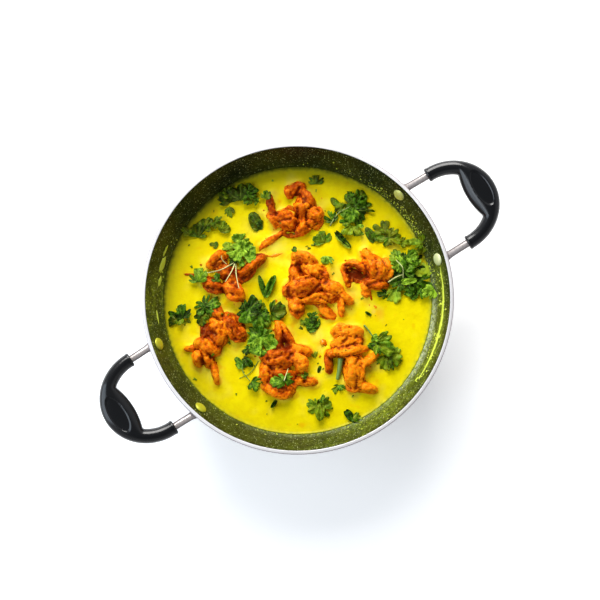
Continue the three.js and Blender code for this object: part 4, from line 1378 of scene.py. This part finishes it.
def curry_state(points, reach):
    """Numbers for the curry's finish: pale places, partly painted highlights, and orange places, more of them
    by the fritters; the thin edge at the wall, widened at the far left as painted shade; and the painted
    shadow of the wall that darkens that edge at the far left."""
    off = np.maximum(off_lumps(points[:, 0], points[:, 1]), 0)
    flat = flat_points(points[:, 0], points[:, 1])
    # Paler places, partly painted highlights, more of them by the fritters.
    cream_and_highlight = 0.24 * smooth_step(0.1, 0.7, 0.7 * swell(flat / 13, 51) + 0.5 * np.exp(-off / 9) - 0.15)
    tint = 0.5 * smooth_step(0.25, 0.8, swell(flat / 8, 52) + 0.9 * np.exp(-off / 2.6) - 0.2)
    stir = 1 + 0.35 * swell(flat / 3, 53)
    for patches, spread in ((CREAM_AND_HIGHLIGHTS, cream_and_highlight), (TINT, tint)):
        for across, down, radius, strength in patches:
            x0, y0 = on_grid(across, down)
            far = np.hypot(points[:, 0] - x0, points[:, 1] - y0) * stir
            spread[:] = np.maximum(spread, 0.65 * strength * np.exp(-((far / radius) ** 2)))
    gap = reach - np.hypot(points[:, 0], points[:, 1]) + 0.9 * swell(flat / 3.5, 54)
    gap += 0.5 * swell(flat / 1.2, 55)
    # Painted shade: towards the far left the thin edge widens and the wall's painted shadow darkens it.
    toward = np.cos(np.arctan2(points[:, 1], points[:, 0]) - math.radians(124))
    thin = 0.97 * np.exp(-np.maximum(gap, 0) / (2.3 + 4.6 * smooth_step(0.1, 0.85, toward)))
    dark = 0.9 * smooth_step(0.5, 1, thin) * smooth_step(-0.1, 0.6, toward)
    return {"cream_and_highlight": cream_and_highlight, "tint": tint, "thin": thin, "dark": dark}


def make_curry():
    """The curry, from the wall's foot up to its level."""
    reach = wall_at(CURRY_LEVEL + CURRY_CLIMB)[0] - 0.1
    points, faces = curry_shape(reach)
    mesh = mesh_of("curry", (points, faces), curry_state(points, reach))
    piece("kadhi_surface", mesh, [KADHI], ["curry"])


# --- Coriander ---

# Leaves: across, down, heading in degrees, length in steps, tone, haze, width. Later ones lie on earlier
# ones. The tone also paints each leaf's light and shade: pale where a leaf has a sheen, dark where it lies in
# shade.
LEAVES = [
    # at the far edge, left of the top fritter
    (229, 202, 115, 16, 0.04, 0.1, 0.9), (221, 197, 60, 8, 0.2, 0.3, 0.8),
    (247, 198, 100, 16, 0.12, 0.1, 0.9), (240, 201, 95, 18, 0.05, 0.05, 0.7),
    (250, 200, 200, 10, 0.2, 0.1, 0.8), (245, 195, 45, 15, 0.1, 0.0, 0.8), (252, 199, -50, 8, 0.25, 0.1, 0.8),
    (264, 199, 75, 9, 0.2, 0.1, 0.8), (228, 206, -90, 12, 0.25, 0.2, 0.5),
    # the folded square leaf
    (258, 230, 114, 20, 0.06, 0.12, 0.49), (256, 226, 40, 8, 0.08, 0.0, 0.45),
    # left
    (196, 238, 80, 19, 0.1, 0.1, 0.8), (202, 230, 50, 14, 0.2, 0.12, 0.8),
    (212, 224, -15, 13, 0.2, 0.15, 0.8), (219, 233, 55, 12, 0.2, 0.2, 0.6),
    (217, 246, 170, 9, 0.12, 0.1, 0.6), (188, 236, 130, 10, 0.2, 0.2, 0.7),
    # on the left fritter
    (232, 250, 160, 12, 0.55, 0.2, 0.8), (238, 243, 75, 12, 0.5, 0.05, 0.9),
    (240, 258, 195, 14, 0.1, 0.0, 0.8), (246, 252, -50, 14, 0.6, 0.0, 0.8),
    (241, 252, 120, 13, 0.9, 0.1, 0.9), (243, 250, 30, 10, 0.65, 0.0, 0.9),
    (241, 250, -125, 15, 0.85, 0.0, 0.9), (240, 262, -70, 7, 0.45, 0.0, 0.9),
    (197, 284, 92, 18, 0.42, 0.05, 0.85), (216, 284, 90, 9, 0.35, 0.0, 0.8),
    # the pair of blades
    (265, 298, 108, 23, 0.25, 0.0, 0.2), (265, 298, 66, 24, 0.4, 0.0, 0.24),
    # far left
    (183, 318, -65, 10, 0.4, 0.5, 0.8), (181, 317, 215, 15, 0.35, 0.1, 0.7),
    (182, 320, 105, 15, 0.32, 0.0, 0.95), (204, 311, 255, 13, 0.25, 0.2, 0.7),
    (202, 318, -110, 10, 0.2, 0.1, 0.8), (176, 321, 200, 10, 0.2, 0.1, 0.8),
    (205, 307, 235, 13, 0.25, 0.0, 0.8), (204, 309, 25, 17, 0.28, 0.0, 0.75),
    # between the left, the centre and the lower fritters
    (270, 315, 2, 17, 0.32, 0.1, 0.85), (257, 315, 0, 17, 0.22, 0.15, 0.9),
    (250, 310, -105, 17, 0.25, 0.0, 0.85), (246, 315, 50, 19, 0.08, 0.0, 0.7),
    (258, 317, -65, 14, 0.42, 0.0, 0.9), (262, 340, 140, 17, 0.3, 0.0, 0.8),
    (259, 338, -112, 20, 0.45, 0.0, 0.75), (262, 338, -50, 18, 0.7, 0.0, 0.9),
    (250, 349, 225, 10, 0.2, 0.0, 0.7), (262, 352, -80, 8, 0.4, 0.0, 0.7),
    # the small sprig lower left
    (246, 369, 143, 15, 0.32, 0.0, 0.5), (243, 360, -40, 13, 0.1, 0.0, 0.45),
    (251, 383, -35, 11, 0.4, 0.0, 0.8),
    # on the lower middle fritter
    (285, 382, 172, 15, 0.6, 0.0, 0.6), (283, 380, -40, 12, 0.4, 0.0, 0.8),
    # below the centre fritter
    (318, 330, 145, 14, 0.25, 0.0, 0.7), (312, 322, 185, 11, 0.35, 0.0, 0.9),
    (309, 319, -25, 11, 0.3, 0.0, 0.7), (303, 322, 250, 7, 0.5, 0.2, 0.8),
    # near edge
    (318, 408, 168, 13, 0.45, 0.25, 0.9), (318, 408, 15, 15, 0.4, 0.2, 0.9),
    (319, 405, -88, 17, 0.4, 0.25, 0.45), (321, 404, 75, 8, 0.3, 0.0, 0.5),
    (339, 387, 225, 10, 0.3, 0.2, 0.6), (340, 386, -80, 7, 0.45, 0.0, 0.6),
    (345, 412, -50, 15, 0.15, 0.0, 0.4), (352, 419, 0, 10, 0.3, 0.2, 0.6), (276, 402, 235, 9, 0.1, 0.0, 0.35),
    # right of the lower right fritter
    (376, 348, 0, 9, 0.7, 0.1, 0.7), (392, 359, 60, 12, 0.7, 0.1, 0.6), (378, 346, 215, 13, 0.4, 0.0, 0.7),
    (385, 357, -92, 16, 0.5, 0.25, 0.65), (389, 357, -38, 17, 0.32, 0.15, 0.6),
    (374, 345, -22, 20, 0.28, 0.15, 0.7), (372, 337, -40, 9, 0.65, 0.0, 0.6),
    (371, 317, 150, 7, 0.3, 0.0, 0.35),
    # round the centre fritter
    (324, 244, 112, 13, 0.3, 0.1, 0.8), (327, 257, -97, 10, 0.5, 0.0, 0.7), (292, 253, 55, 6, 0.2, 0.0, 0.7),
    # the bunch at the top right
    (340, 213, 120, 11, 0.4, 0.45, 0.8), (339, 206, 132, 12, 0.12, 0.1, 0.45),
    (334, 223, 118, 13, 0.3, 0.0, 0.6), (357, 206, 62, 17, 0.16, 0.05, 0.9),
    (356, 207, 122, 17, 0.2, 0.05, 0.9), (360, 197, 80, 8, 0.15, 0.1, 0.8),
    (343, 207, 160, 10, 0.1, 0.1, 0.8), (352, 197, 110, 8, 0.1, 0.0, 0.8), (354, 205, -8, 15, 0.16, 0.0, 0.8),
    (366, 210, -10, 10, 0.25, 0.2, 0.25), (355, 212, -60, 14, 0.12, 0.0, 0.8),
    (352, 222, 130, 16, 0.42, 0.0, 0.85), (352, 211, -105, 14, 0.42, 0.0, 0.85),
    (356, 226, -75, 14, 0.5, 0.05, 0.8), (352, 226, -115, 14, 0.6, 0.3, 0.8),
    (350, 248, 138, 20, 0.88, 0.3, 0.25), (336, 233, -46, 22, 0.08, 0.0, 0.18),
    # the dull leaves sunk in the curry
    (385, 234, 95, 14, 0.1, 0.2, 0.85), (375, 242, 120, 17, 0.15, 0.05, 0.4),
    (391, 238, 184, 16, 0.15, 0.12, 0.8), (389, 239, -5, 14, 0.3, 0.28, 0.8),
    (402, 243, -5, 10, 0.3, 0.33, 0.8), (421, 255, 100, 8, 0.3, 0.3, 0.7),
    (423, 244, 168, 13, 0.42, 0.2, 0.8),
    # the dense bunch at the right
    (398, 262, 100, 12, 0.3, 0.1, 0.9), (412, 262, 75, 14, 0.2, 0.1, 0.9), (394, 263, 110, 8, 0.8, 0.3, 0.7),
    (426, 278, 100, 16, 0.85, 0.45, 0.7), (388, 294, 200, 12, 0.25, 0.0, 0.6),
    (395, 290, -105, 15, 0.95, 0.15, 0.55), (402, 282, 195, 13, 0.18, 0.0, 0.8),
    (410, 290, 250, 12, 0.5, 0.0, 0.9), (420, 290, 235, 14, 0.3, 0.0, 0.9),
    (412, 276, 10, 16, 0.06, 0.0, 0.9), (408, 276, 200, 14, 0.05, 0.0, 0.9),
    (410, 280, -60, 14, 0.12, 0.0, 0.9), (420, 282, -30, 14, 0.4, 0.0, 0.8),
    (403, 266, 180, 13, 0.92, 0.0, 0.75), (406, 272, 75, 16, 0.62, 0.0, 0.8),
    (404, 262, 20, 16, 0.5, 0.0, 0.8), (418, 268, 130, 14, 0.66, 0.0, 0.7),
    (402, 284, 8, 15, 0.88, 0.0, 0.35), (404, 275, 45, 14, 0.3, 0.0, 0.8), (424, 296, 20, 10, 0.5, 0.0, 0.6),
    (434, 291, 208, 14, 0.85, 0.0, 0.7),
    # bits among the lower fritters
    (303, 380, 60, 7, 0.5, 0.1, 0.7), (320, 368, -110, 7, 0.1, 0.0, 0.4), (313, 359, 60, 7, 0.5, 0.4, 0.7),
    # at the far edge
    (316, 183, 92, 11, 0.1, 0.1, 0.8),
]

# Stalks: places on the same grid, then half thickness, tone and how far over the ground the middle rises.
STALKS = [
    ([(233, 264), (222, 271), (205, 275)], 0.42, 0.9, 2.2),
    ([(234, 265), (231, 274), (225, 284)], 0.5, 1.0, 2.2),
    ([(235, 265), (236, 277), (239, 291)], 0.42, 0.9, 2.0),
    ([(226, 266), (222, 262), (221, 258)], 0.38, 0.8, 1.2),
    ([(258, 363), (253, 371), (248, 376), (239, 380)], 0.34, 0.08, 0.5),
    ([(242, 366), (243, 374), (250, 383)], 0.5, 0.1, 0.5),
    ([(284, 382), (286, 376), (288, 370)], 0.45, 0.9, 0.9),
    ([(340, 360), (339, 370), (337, 381)], 2.3, 0.16, 0.4),
    ([(364, 327), (368, 332), (372, 338)], 0.8, 0.1, 0.6),
    ([(388, 284), (396, 279), (404, 276)], 0.6, 0.8, 2.0),
    ([(396, 262), (402, 270), (403, 280)], 0.5, 0.6, 2.0),
    ([(330, 226), (338, 214), (350, 207)], 0.45, 0.4, 0.8),
]


class Ground:
    """The height of whatever lies on top, on a grid of one-millimetre cells that grows as leaves are laid."""

    def __init__(self):
        """Starts with the curry and the wall."""
        self.half = 128
        side = np.arange(-self.half, self.half + 1.0)
        x, y = np.meshgrid(side, side, indexing="ij")
        radius = np.hypot(x, y)
        table = WALL_TABLE[0]
        wall = np.interp(radius, table[:, 0], table[:, 1])
        self.height = np.maximum(curry_height(x, y), np.where(radius > FLOOR_RADIUS, wall, 0))

    def cells(self, x, y):
        """Places counted in cells from the grid's corner, kept on the grid."""
        return [np.clip(side + self.half, 0, 2 * self.half - 1.001) for side in (x, y)]

    def under(self, x, y):
        """Height at each place, blended between the four nearest cells."""
        i, j = self.cells(x, y)
        a, b = i.astype(int), j.astype(int)
        u, v = i - a, j - b
        h = self.height
        low = h[a, b] * (1 - v) + h[a, b + 1] * v
        high = h[a + 1, b] * (1 - v) + h[a + 1, b + 1] * v
        return low * (1 - u) + high * u

    def pile(self, points):
        """Raises the cells that these points lie on."""
        i, j = self.cells(points[:, 0], points[:, 1])
        np.maximum.at(self.height, (np.round(i).astype(int), np.round(j).astype(int)), points[:, 2])


# Notches of a leaf on each side of the middle lobe: the share of the fan they are at, half width and depth.
NOTCHES = ((0.36, 0.085, 0.6), (0.12, 0.05, 0.16), (0.66, 0.06, 0.34), (0.86, 0.04, 0.14))

# Where the ribs of the three lobes are, as shares of the fan.
RIBS = np.array([-0.68, 0, 0.68])

# A leaf narrower than this is a plain blade, and one with more haze than this is sunk in the curry.
BLADE_WIDTH = 0.5
SUNK_HAZE = 0.35

LEAF_RINGS = 6
LEAF_THICKNESS = 0.22
FLAKE_THICKNESS = 0.2


def leaf_outline(share, chance):
    """How far a leaf reaches along rays from the end of its stalk, share running from -1 to 1 across the fan:
    long in the middle, cut by a deep notch on each side of the middle lobe and by shallow ones between the
    round teeth of each lobe, and one side a little longer than the other."""
    reach = 0.62 + 0.38 * np.cos(1.2 * share) ** 0.8
    for side in (-1, 1):
        moved = [chance.normal(0, 0.07), 0, 0, 0]
        for (middle, spread, deep), by in zip(NOTCHES, moved):
            notch = side * (middle + by + chance.normal(0, 0.04))
            reach = reach * (1 - deep * chance.uniform(0.1, 1.3) * np.exp(-(((share - notch) / spread) ** 2)))
        reach = reach * (1 - chance.uniform(-0.1, 0.42) * smooth_step(0.25, 0.5, side * share))
    reach = reach * (1 + 0.10 * np.sin(7 * share + chance.uniform(0, 6)) * chance.uniform(0, 1))
    return reach * (1 - 0.45 * np.abs(share) ** 6)


def leaf_reach(side, turn, slim, chance):
    """How far a leaf reaches along each ray: a plain blade if slim, or else its outline, at times bitten off
    straight."""
    if slim:
        return np.cos(turn * 0.8) ** 0.7
    reach = leaf_outline(side, chance)
    if chance.uniform() < 0.45:
        cut = chance.normal(0, 0.7)
        reach = np.minimum(reach, chance.uniform(0.62, 0.86) / np.maximum(np.cos(turn - cut), 0.05))
    return reach


def laid_height(below, relief, sunk):
    """Height of a leaf over what lies below it: sunk in the curry, or resting on the higher places and bent
    over the others, at most a few millimetres off."""
    if sunk:
        return np.maximum(below.mean() - 0.1 + 0.3 * relief, below - 0.5)
    rest = 0.6 * below.mean() + 0.4 * below.max()
    z = np.maximum(below + 0.12 + 0.15 * (relief - relief.min()), rest + relief - np.median(relief) + 0.3)
    return np.minimum(z, below + 3.8 + 0.25 * relief)


def leaf_shape(row, ground):
    """A leaf on a grid of rays and shares of their reach. Each lobe is creased along its rib, the whole is
    folded, drooped and waved, and it is laid on the ground. Returns points, faces and numbers kept."""
    across, down, heading, length, tone, haze, width = row
    chance = np.random.default_rng([across, down, length])
    slim = width < BLADE_WIDTH
    rays = 73 if length > 12 and not slim else 45
    share = (np.linspace(0, 1, LEAF_RINGS)[:, None]) ** 0.8
    side = np.linspace(-1, 1, rays)[None, :]
    spread = math.radians(104 if slim else 60 + 50 * (width - 0.5) / 0.45)
    turn = side * spread
    reach = leaf_reach(side, turn, slim, chance)
    size = length * GRID_STEP * 0.99
    u = share * reach * np.cos(turn) * size
    v = share * reach * np.sin(turn) * size * (width if slim else 1)
    far = share * reach * size
    lobe = np.argmin(np.abs(side[..., None] - RIBS), axis=-1)
    off_rib = np.abs(side - RIBS[lobe]) * spread
    relief = chance.uniform(0.16, 0.5) * off_rib * far
    relief += chance.normal(0.10, 0.22) * np.abs(v) - chance.uniform(0.0, 0.3) * u * share
    relief += chance.normal(0, 0.17, 3)[lobe] * far * smooth_step(0.1, 0.6, share)
    bed = np.stack([np.broadcast_to(u, far.shape), v, 0 * far], axis=-1).reshape(-1, 3)
    relief = relief + (0.13 * size * swell(bed / 3.6 + 9 * across, 81)).reshape(far.shape)
    relief = relief + chance.normal(0, 0.13) * u + chance.normal(0, 0.18) * v
    x, y = set_down(u, v, math.radians(heading), *on_grid(across, down))
    z = laid_height(ground.under(x, y), relief, haze > SUNK_HAZE)
    points = np.stack([x, y, z], axis=-1).reshape(-1, 3)
    rib = 0.5 * np.exp(-((off_rib / 0.05) ** 2)) * (1 - 0.6 * share) * (0.4 if slim else 1)
    # The tone carries painted light and shade as well as the leaf's own green.
    shade = tone + chance.normal(0, 0.12, 3)[lobe] * (not slim) + 0.12 * (share - 0.5)
    values = {
        "tone": np.clip(shade + 0 * far, 0, 1).ravel(),
        "haze": np.clip(haze + 0.3 * swell(points / 4, 77) * (haze > 0.05), 0, 1),
        "rib": (rib + 0 * far).ravel(),
    }
    return points, sheet_faces(LEAF_RINGS, rays), values


def make_leaves(ground):
    """All leaves as one piece, each laid on those before it."""
    shapes, states = [], []
    for row in LEAVES:
        points, faces, values = leaf_shape(row, ground)
        shapes.append((points, faces))
        states.append(values)
        if row[5] <= SUNK_HAZE:
            ground.pile(points + [0, 0, 0.2])
    values = {key: np.concatenate([state[key] for state in states]) for key in states[0]}
    leaves = piece("coriander_leaves", mesh_of("leaves", together(shapes), values), [LEAF])
    thickened(leaves, LEAF_THICKNESS)


def make_stalks(ground):
    """All stalks as one piece: thin tubes arched over the ground."""
    shapes, tones = [], []
    for places, half, tone, rise in STALKS:
        path = level_path(places, 10)
        share = np.linspace(0, 1, len(path))
        below = ground.under(path[:, 0], path[:, 1])
        straight = below[0] + (below[-1] - below[0]) * share
        path[:, 2] = np.maximum(straight + rise * np.sin(np.pi * share), below) + half * 0.8
        taper = half * (1 - 0.3 * share)
        shape = tube(path, taper, taper, 10)
        shapes.append(shape)
        tones.append(np.full(len(shape[0]), tone))
    mesh = mesh_of("stalks", together(shapes), {"tone": np.concatenate(tones)})
    piece("coriander_stalks", mesh, [STEM])


# Places of the green flakes that stand out, how many flakes there are in all and how far out they lie.
FLAKES = [
    (306, 247), (309, 249), (313, 246), (333, 275), (213, 357), (195, 381), (316, 190), (212, 211),
    (187, 246), (190, 268), (356, 195), (362, 300), (301, 330), (229, 345), (386, 327), (262, 384),
    (236, 396), (352, 398),
]
FLAKE_COUNT = 46
FLAKE_REACH = 112


def make_bits(ground):
    """Small green flakes: bent four-sided scraps, first the ones that stand out, then others at random."""
    chance = np.random.default_rng(29)
    shapes, tones = [], []
    u, v = np.meshgrid(np.linspace(-1, 1, 4), np.linspace(-1, 1, 4))
    for count in range(FLAKE_COUNT):
        angle, radius = chance.uniform(0, 2 * np.pi), FLAKE_REACH * math.sqrt(chance.uniform(0, 1))
        place = radius * math.cos(angle), radius * math.sin(angle)
        size = chance.uniform(0.4, 1.0)
        if count < len(FLAKES):
            place = on_grid(*FLAKES[count])
            size = chance.uniform(0.9, 1.6)
        way = chance.uniform(0, np.pi)
        along = size * (u + 0.3 * v**2)
        across = size * chance.uniform(0.3, 0.8) * (v + 0.25 * u * v)
        x, y = set_down(along, across, way, *place)
        z = ground.under(x, y) + 0.12 + 0.2 * size * chance.uniform(0, 1) * u**2
        shapes.append((np.column_stack([x.ravel(), y.ravel(), z.ravel()]), sheet_faces(4, 4)))
        tones.append(np.full(16, chance.uniform(0.05, 0.6)))
    tone = np.concatenate(tones)
    values = {"tone": tone, "haze": 0.2 + 0 * tone, "rib": 0 * tone}
    bits = piece("coriander_bits", mesh_of("bits", together(shapes), values), [LEAF])
    thickened(bits, FLAKE_THICKNESS)


# --- Splashes, oil and crumbs ---


def on_wall(angle, height, out):
    """Points on the inside of the wall, moved into the pan by a distance."""
    radius, way = wall_at(height)
    r = radius - out * way[..., 0]
    return np.stack([r * np.cos(angle), r * np.sin(angle), height - out * way[..., 1]], axis=-1)


# Points along the dried line and round its profile, and round a drop.
LINE_POINTS = 220
LINE_PROFILE = 12
DROP_POINTS = 14

# Larger smears on the wall at the left: direction in radians, height, half width round the wall and half
# height up it.
SMEARS = ((2.9, 64, 9.0, 3.0), (3.02, 63, 5.0, 2.2), (3.28, 66, 6.0, 1.2), (2.80, 66, 5.0, 1.5))


def line_shape():
    """The line that curry left where it stood higher: a lens-shaped profile carried round the wall, its
    height and width wandering, its back just in the wall."""
    angle = np.radians(np.linspace(LINE_FROM, LINE_TO, LINE_POINTS))
    wander = flat_points(angle * 60, 0 * angle)
    height = dried_height(np.degrees(angle)) + 0.6 * swell(wander / 6, 61) + 0.25 * swell(wander / 1.7, 62)
    ends = np.sin(np.linspace(0.05, np.pi - 0.05, LINE_POINTS)) ** 0.5
    half = (1.55 + 0.55 * swell(wander / 2.6, 63)) * ends
    turn = np.linspace(0, 2 * np.pi, LINE_PROFILE, endpoint=False)[None, :]
    bulge = np.where(np.sin(turn) > 0, 0.45 * ends[:, None], 0.25)
    rise = bulge * np.sin(turn) * np.abs(np.sin(turn)) - 0.05
    heights = height[:, None] + half[:, None] * np.cos(turn)
    return skin(on_wall(angle[:, None] + 0 * turn, heights, rise))


def make_dried_line():
    """The dried line with drops along it, smears at the left, and splashes all round and at the far right."""
    chance = np.random.default_rng(31)
    shapes = [line_shape()]

    def strew(count, place, wide, tall):
        """Adds drops at random places, their half width and half height between bounds."""
        for _ in range(count):
            a, h = place()
            shapes.append(blob_on_wall(a, h, chance.uniform(*wide), chance.uniform(*tall), chance))

    strew(
        34,
        lambda: (math.radians(chance.uniform(-36, 14)), 71 + chance.normal(0, 3.2)),
        (0.5, 1.6),
        (0.5, 1.2),
    )
    for a, h, wide, tall in SMEARS:
        shapes.append(blob_on_wall(a, h, wide, tall, chance))
    strew(
        40,
        lambda: (chance.uniform(0, 2 * np.pi), 57 + abs(chance.normal(0, 4))),
        (0.3, 0.9),
        (0.3, 0.8),
    )
    strew(
        150,
        lambda: (math.radians(chance.normal(36, 14)), 57.5 + abs(chance.normal(0, 4.5))),
        (0.2, 0.75),
        (0.2, 0.9),
    )
    piece("dried_line", mesh_of("dried", together(shapes)), [DRIED])


def blob_on_wall(angle, height, wide, tall, chance):
    """A flat drop on the wall: rings of a disc with a wavy edge, domed, closed behind in the wall."""
    share = np.array([0, 0.25, 0.5, 0.75, 1, 0.7, 0])[:, None]
    turn = np.linspace(0, 2 * np.pi, DROP_POINTS, endpoint=False)[None, :]
    edge = 1 + 0.2 * np.sin(2 * turn + chance.uniform(0, 6)) + 0.12 * np.sin(5 * turn + chance.uniform(0, 6))
    du = wide * share * edge * np.cos(turn)
    dv = tall * share * edge * np.sin(turn)
    rise = 0.35 * min(wide, tall, 1.2) * (1 - share**2) + 0 * turn - 0.04
    rise[-2:] = -0.2
    heights = np.clip(height + dv, CURRY_LEVEL, RIM_HEIGHT - 1.5)
    points = on_wall(angle + du / 120, heights, rise).reshape(-1, 3)
    return points, sheet_faces(len(share), DROP_POINTS, True)


# Runs of oil that stand out: places on the grid and half width. How many drops and crumbs are strewn.
OIL_RUNS = [
    ([(264, 257), (272, 257), (282, 254)], 1.2),
    ([(273, 303), (277, 302)], 1.5),
    ([(374, 307), (377, 310)], 1.1),
    ([(320, 342), (324, 346)], 2.2),
]
DROP_COUNT = 60
CRUMB_COUNT = 46


def beside_fritter(chance, end, nearest, furthest):
    """A random place round one end of a random lump, and the way from the lump to it."""
    (px, py), lumps = PAKORAS[chance.choice(list(PAKORAS))]
    lump = lumps[chance.integers(len(lumps))]
    way = chance.uniform(0, 2 * np.pi)
    off = lump[4] + chance.uniform(nearest, furthest)
    return px + lump[end] + off * math.cos(way), py + lump[end + 1] + off * math.sin(way), way


def make_oil(ground):
    """Lenses of oil by the fritters: flat ovals carried along short paths on the curry."""
    chance = np.random.default_rng(37)
    shapes = []
    for places, half in OIL_RUNS:
        path = level_path(places, 10)
        path[:, 2] = ground.under(path[:, 0], path[:, 1]) + 0.02
        share = np.linspace(-1, 1, len(path))
        taper = half * (1 - share**4) * (0.8 + 0.3 * np.sin(5 * share)) + 0.1
        shapes.append(tube(path, taper, 0.22 + 0 * taper, 12))
    for _ in range(DROP_COUNT):
        x, y, _ = beside_fritter(chance, 2, 1.5, 7)
        if off_lumps(np.array([x]), np.array([y]))[0] < 1.0:
            continue
        size = chance.uniform(0.35, 1.1)
        path = np.array([[x - size * 0.4, y, 0], [x, y, 0], [x + size * 0.4, y, 0]])
        path[:, 2] = ground.under(path[:, 0], path[:, 1]) + 0.02
        shapes.append(tube(path, size * np.array([0.5, 1, 0.5]), size * np.array([0.1, 0.2, 0.1]), 10))
    piece("chilli_oil", mesh_of("oil", together(shapes)), [OIL])


def make_crumbs(ground):
    """Crumbs of batter near the fritters: little rippled balls of a few dozen faces."""
    chance = np.random.default_rng(43)
    lat = np.linspace(-np.pi / 2, np.pi / 2, 6)[:, None]
    lon = np.linspace(0, 2 * np.pi, 9, endpoint=False)[None, :]
    sides = [np.cos(lat) * np.cos(lon), np.cos(lat) * np.sin(lon), np.sin(lat) + 0 * lon]
    ball = np.stack(sides, axis=-1).reshape(-1, 3)
    shapes = []
    for _ in range(CRUMB_COUNT):
        x, y, way = beside_fritter(chance, 0, 0.5, 4.5)
        size = chance.uniform(0.4, 1.3)
        ripples = swell(ball * 1.3 + 50 * chance.uniform(), 91)[:, None]
        crumb = ball * (size * (1 + 0.3 * ripples) * [1, 0.8, 0.6])
        level = ground.under(np.array([x]), np.array([y]))[0]
        shapes.append((spun(crumb, way) + [x, y, level + 0.1], sheet_faces(6, 9, True)))
    shape = together(shapes)
    none = np.zeros(len(shape[0]))
    # A little painted fold shade on every crumb.
    mesh = mesh_of("crumbs", shape, {"shade": none + 0.5, "fold": none + 0.1, "wet": none + 0.2})
    piece("batter_crumbs", mesh, [CRUST])


# --- Light, floor and camera ---


# Lights: name, place in metres, side in metres, power in watts, colour. All point at LIGHT_AIM.
LIGHTS = [
    ("key_light", (-0.18, 0.98, 0.70), 0.8, 22.5, (1.0, 0.985, 0.96)),
    ("side_light", (-0.85, -0.12, 0.62), 0.8, 6.0, (0.76, 0.88, 1.0)),
    ("window_light", (-0.60, -0.28, 0.95), 0.36, 1.0, (0.86, 0.93, 1.0)),
]
LIGHT_AIM = Vector((0, 0, 0.05))

# The camera: where it looks and how far off it is in metres, how high it stands, and half its view's width
# against the distance.
CAMERA_AIM = Vector((0.0020, -0.0032, 0.082))
CAMERA_DISTANCE = 0.6
CAMERA_ELEVATION = math.radians(85.6)
CAMERA_HALF_VIEW = 248.9 / 600

# Half the side of the floor, and how far it lies under the base so that the two don't share a plane.
FLOOR_HALF = 3.0
FLOOR_DROP = 0.0001


def soft_light(name, place, side, power, colour):
    """A square light that looks at the pot."""
    data = bpy.data.lights.new(name, "AREA")
    data.shape = "SQUARE"
    data.size = side
    data.energy = power
    data.color = colour
    lamp = placed(name, data)
    lamp.location = place
    lamp.rotation_euler = (LIGHT_AIM - Vector(place)).to_track_quat("-Z", "Y").to_euler()


def make_floor():
    """A plain pale floor that glows a little."""
    half = FLOOR_HALF
    floor = bpy.data.meshes.new("floor")
    corners = [(-half, -half, 0), (half, -half, 0), (half, half, 0), (-half, half, 0)]
    floor.from_pydata(corners, [], [(0, 1, 2, 3)])
    pale = {
        "Base Color": (0.93, 0.93, 0.93, 1),
        "Roughness": 0.8,
        "Emission Color": (0.97, 0.98, 1.0, 1),
        "Emission Strength": 0.4,
    }
    floor.materials.append(finish("pale_floor", **pale)[0])
    ground = placed("floor", floor)
    ground.location = (0, 0, -FLOOR_DROP)


def make_sky():
    """A pale room around, dimmer overhead."""
    world = bpy.data.worlds.new("pale_room")
    world.use_nodes = True
    tree = world.node_tree
    way = node(tree, "ShaderNodeTexCoord").outputs["Generated"]
    height = node(tree, "ShaderNodeSeparateXYZ", {0: way}).outputs[2]
    dim = between(tree, height, 0.4, 0.85, 0.58, 0.1)
    tree.nodes["Background"].inputs["Color"].default_value = (0.95, 0.97, 1.0, 1)
    tree.links.new(dim, tree.nodes["Background"].inputs["Strength"])
    bpy.context.scene.world = world


def make_camera():
    """A camera almost straight above."""
    camera = bpy.data.cameras.new("camera")
    camera.sensor_fit = "HORIZONTAL"
    camera.angle = 2 * math.atan(CAMERA_HALF_VIEW)
    holder = placed("camera", camera)
    back = Vector((0, -math.cos(CAMERA_ELEVATION), math.sin(CAMERA_ELEVATION)))
    holder.location = CAMERA_AIM + CAMERA_DISTANCE * back
    holder.rotation_euler = (-back).to_track_quat("-Z", "Y").to_euler()
    bpy.context.scene.camera = holder
    bpy.context.scene.view_settings.view_transform = "Standard"


# --- Assembly ---

make_bowl()
make_edge()
make_base()
make_handles()
make_curry()
top = Ground()
for number, (name, (place, lumps)) in enumerate(PAKORAS.items()):
    top.pile(make_pakora(name, place, lumps, 100 + 20 * number))
make_oil(top)
make_crumbs(top)
make_leaves(top)
make_stalks(top)
make_bits(top)
make_dried_line()
make_floor()
make_sky()
for light in LIGHTS:
    soft_light(*light)
make_camera()
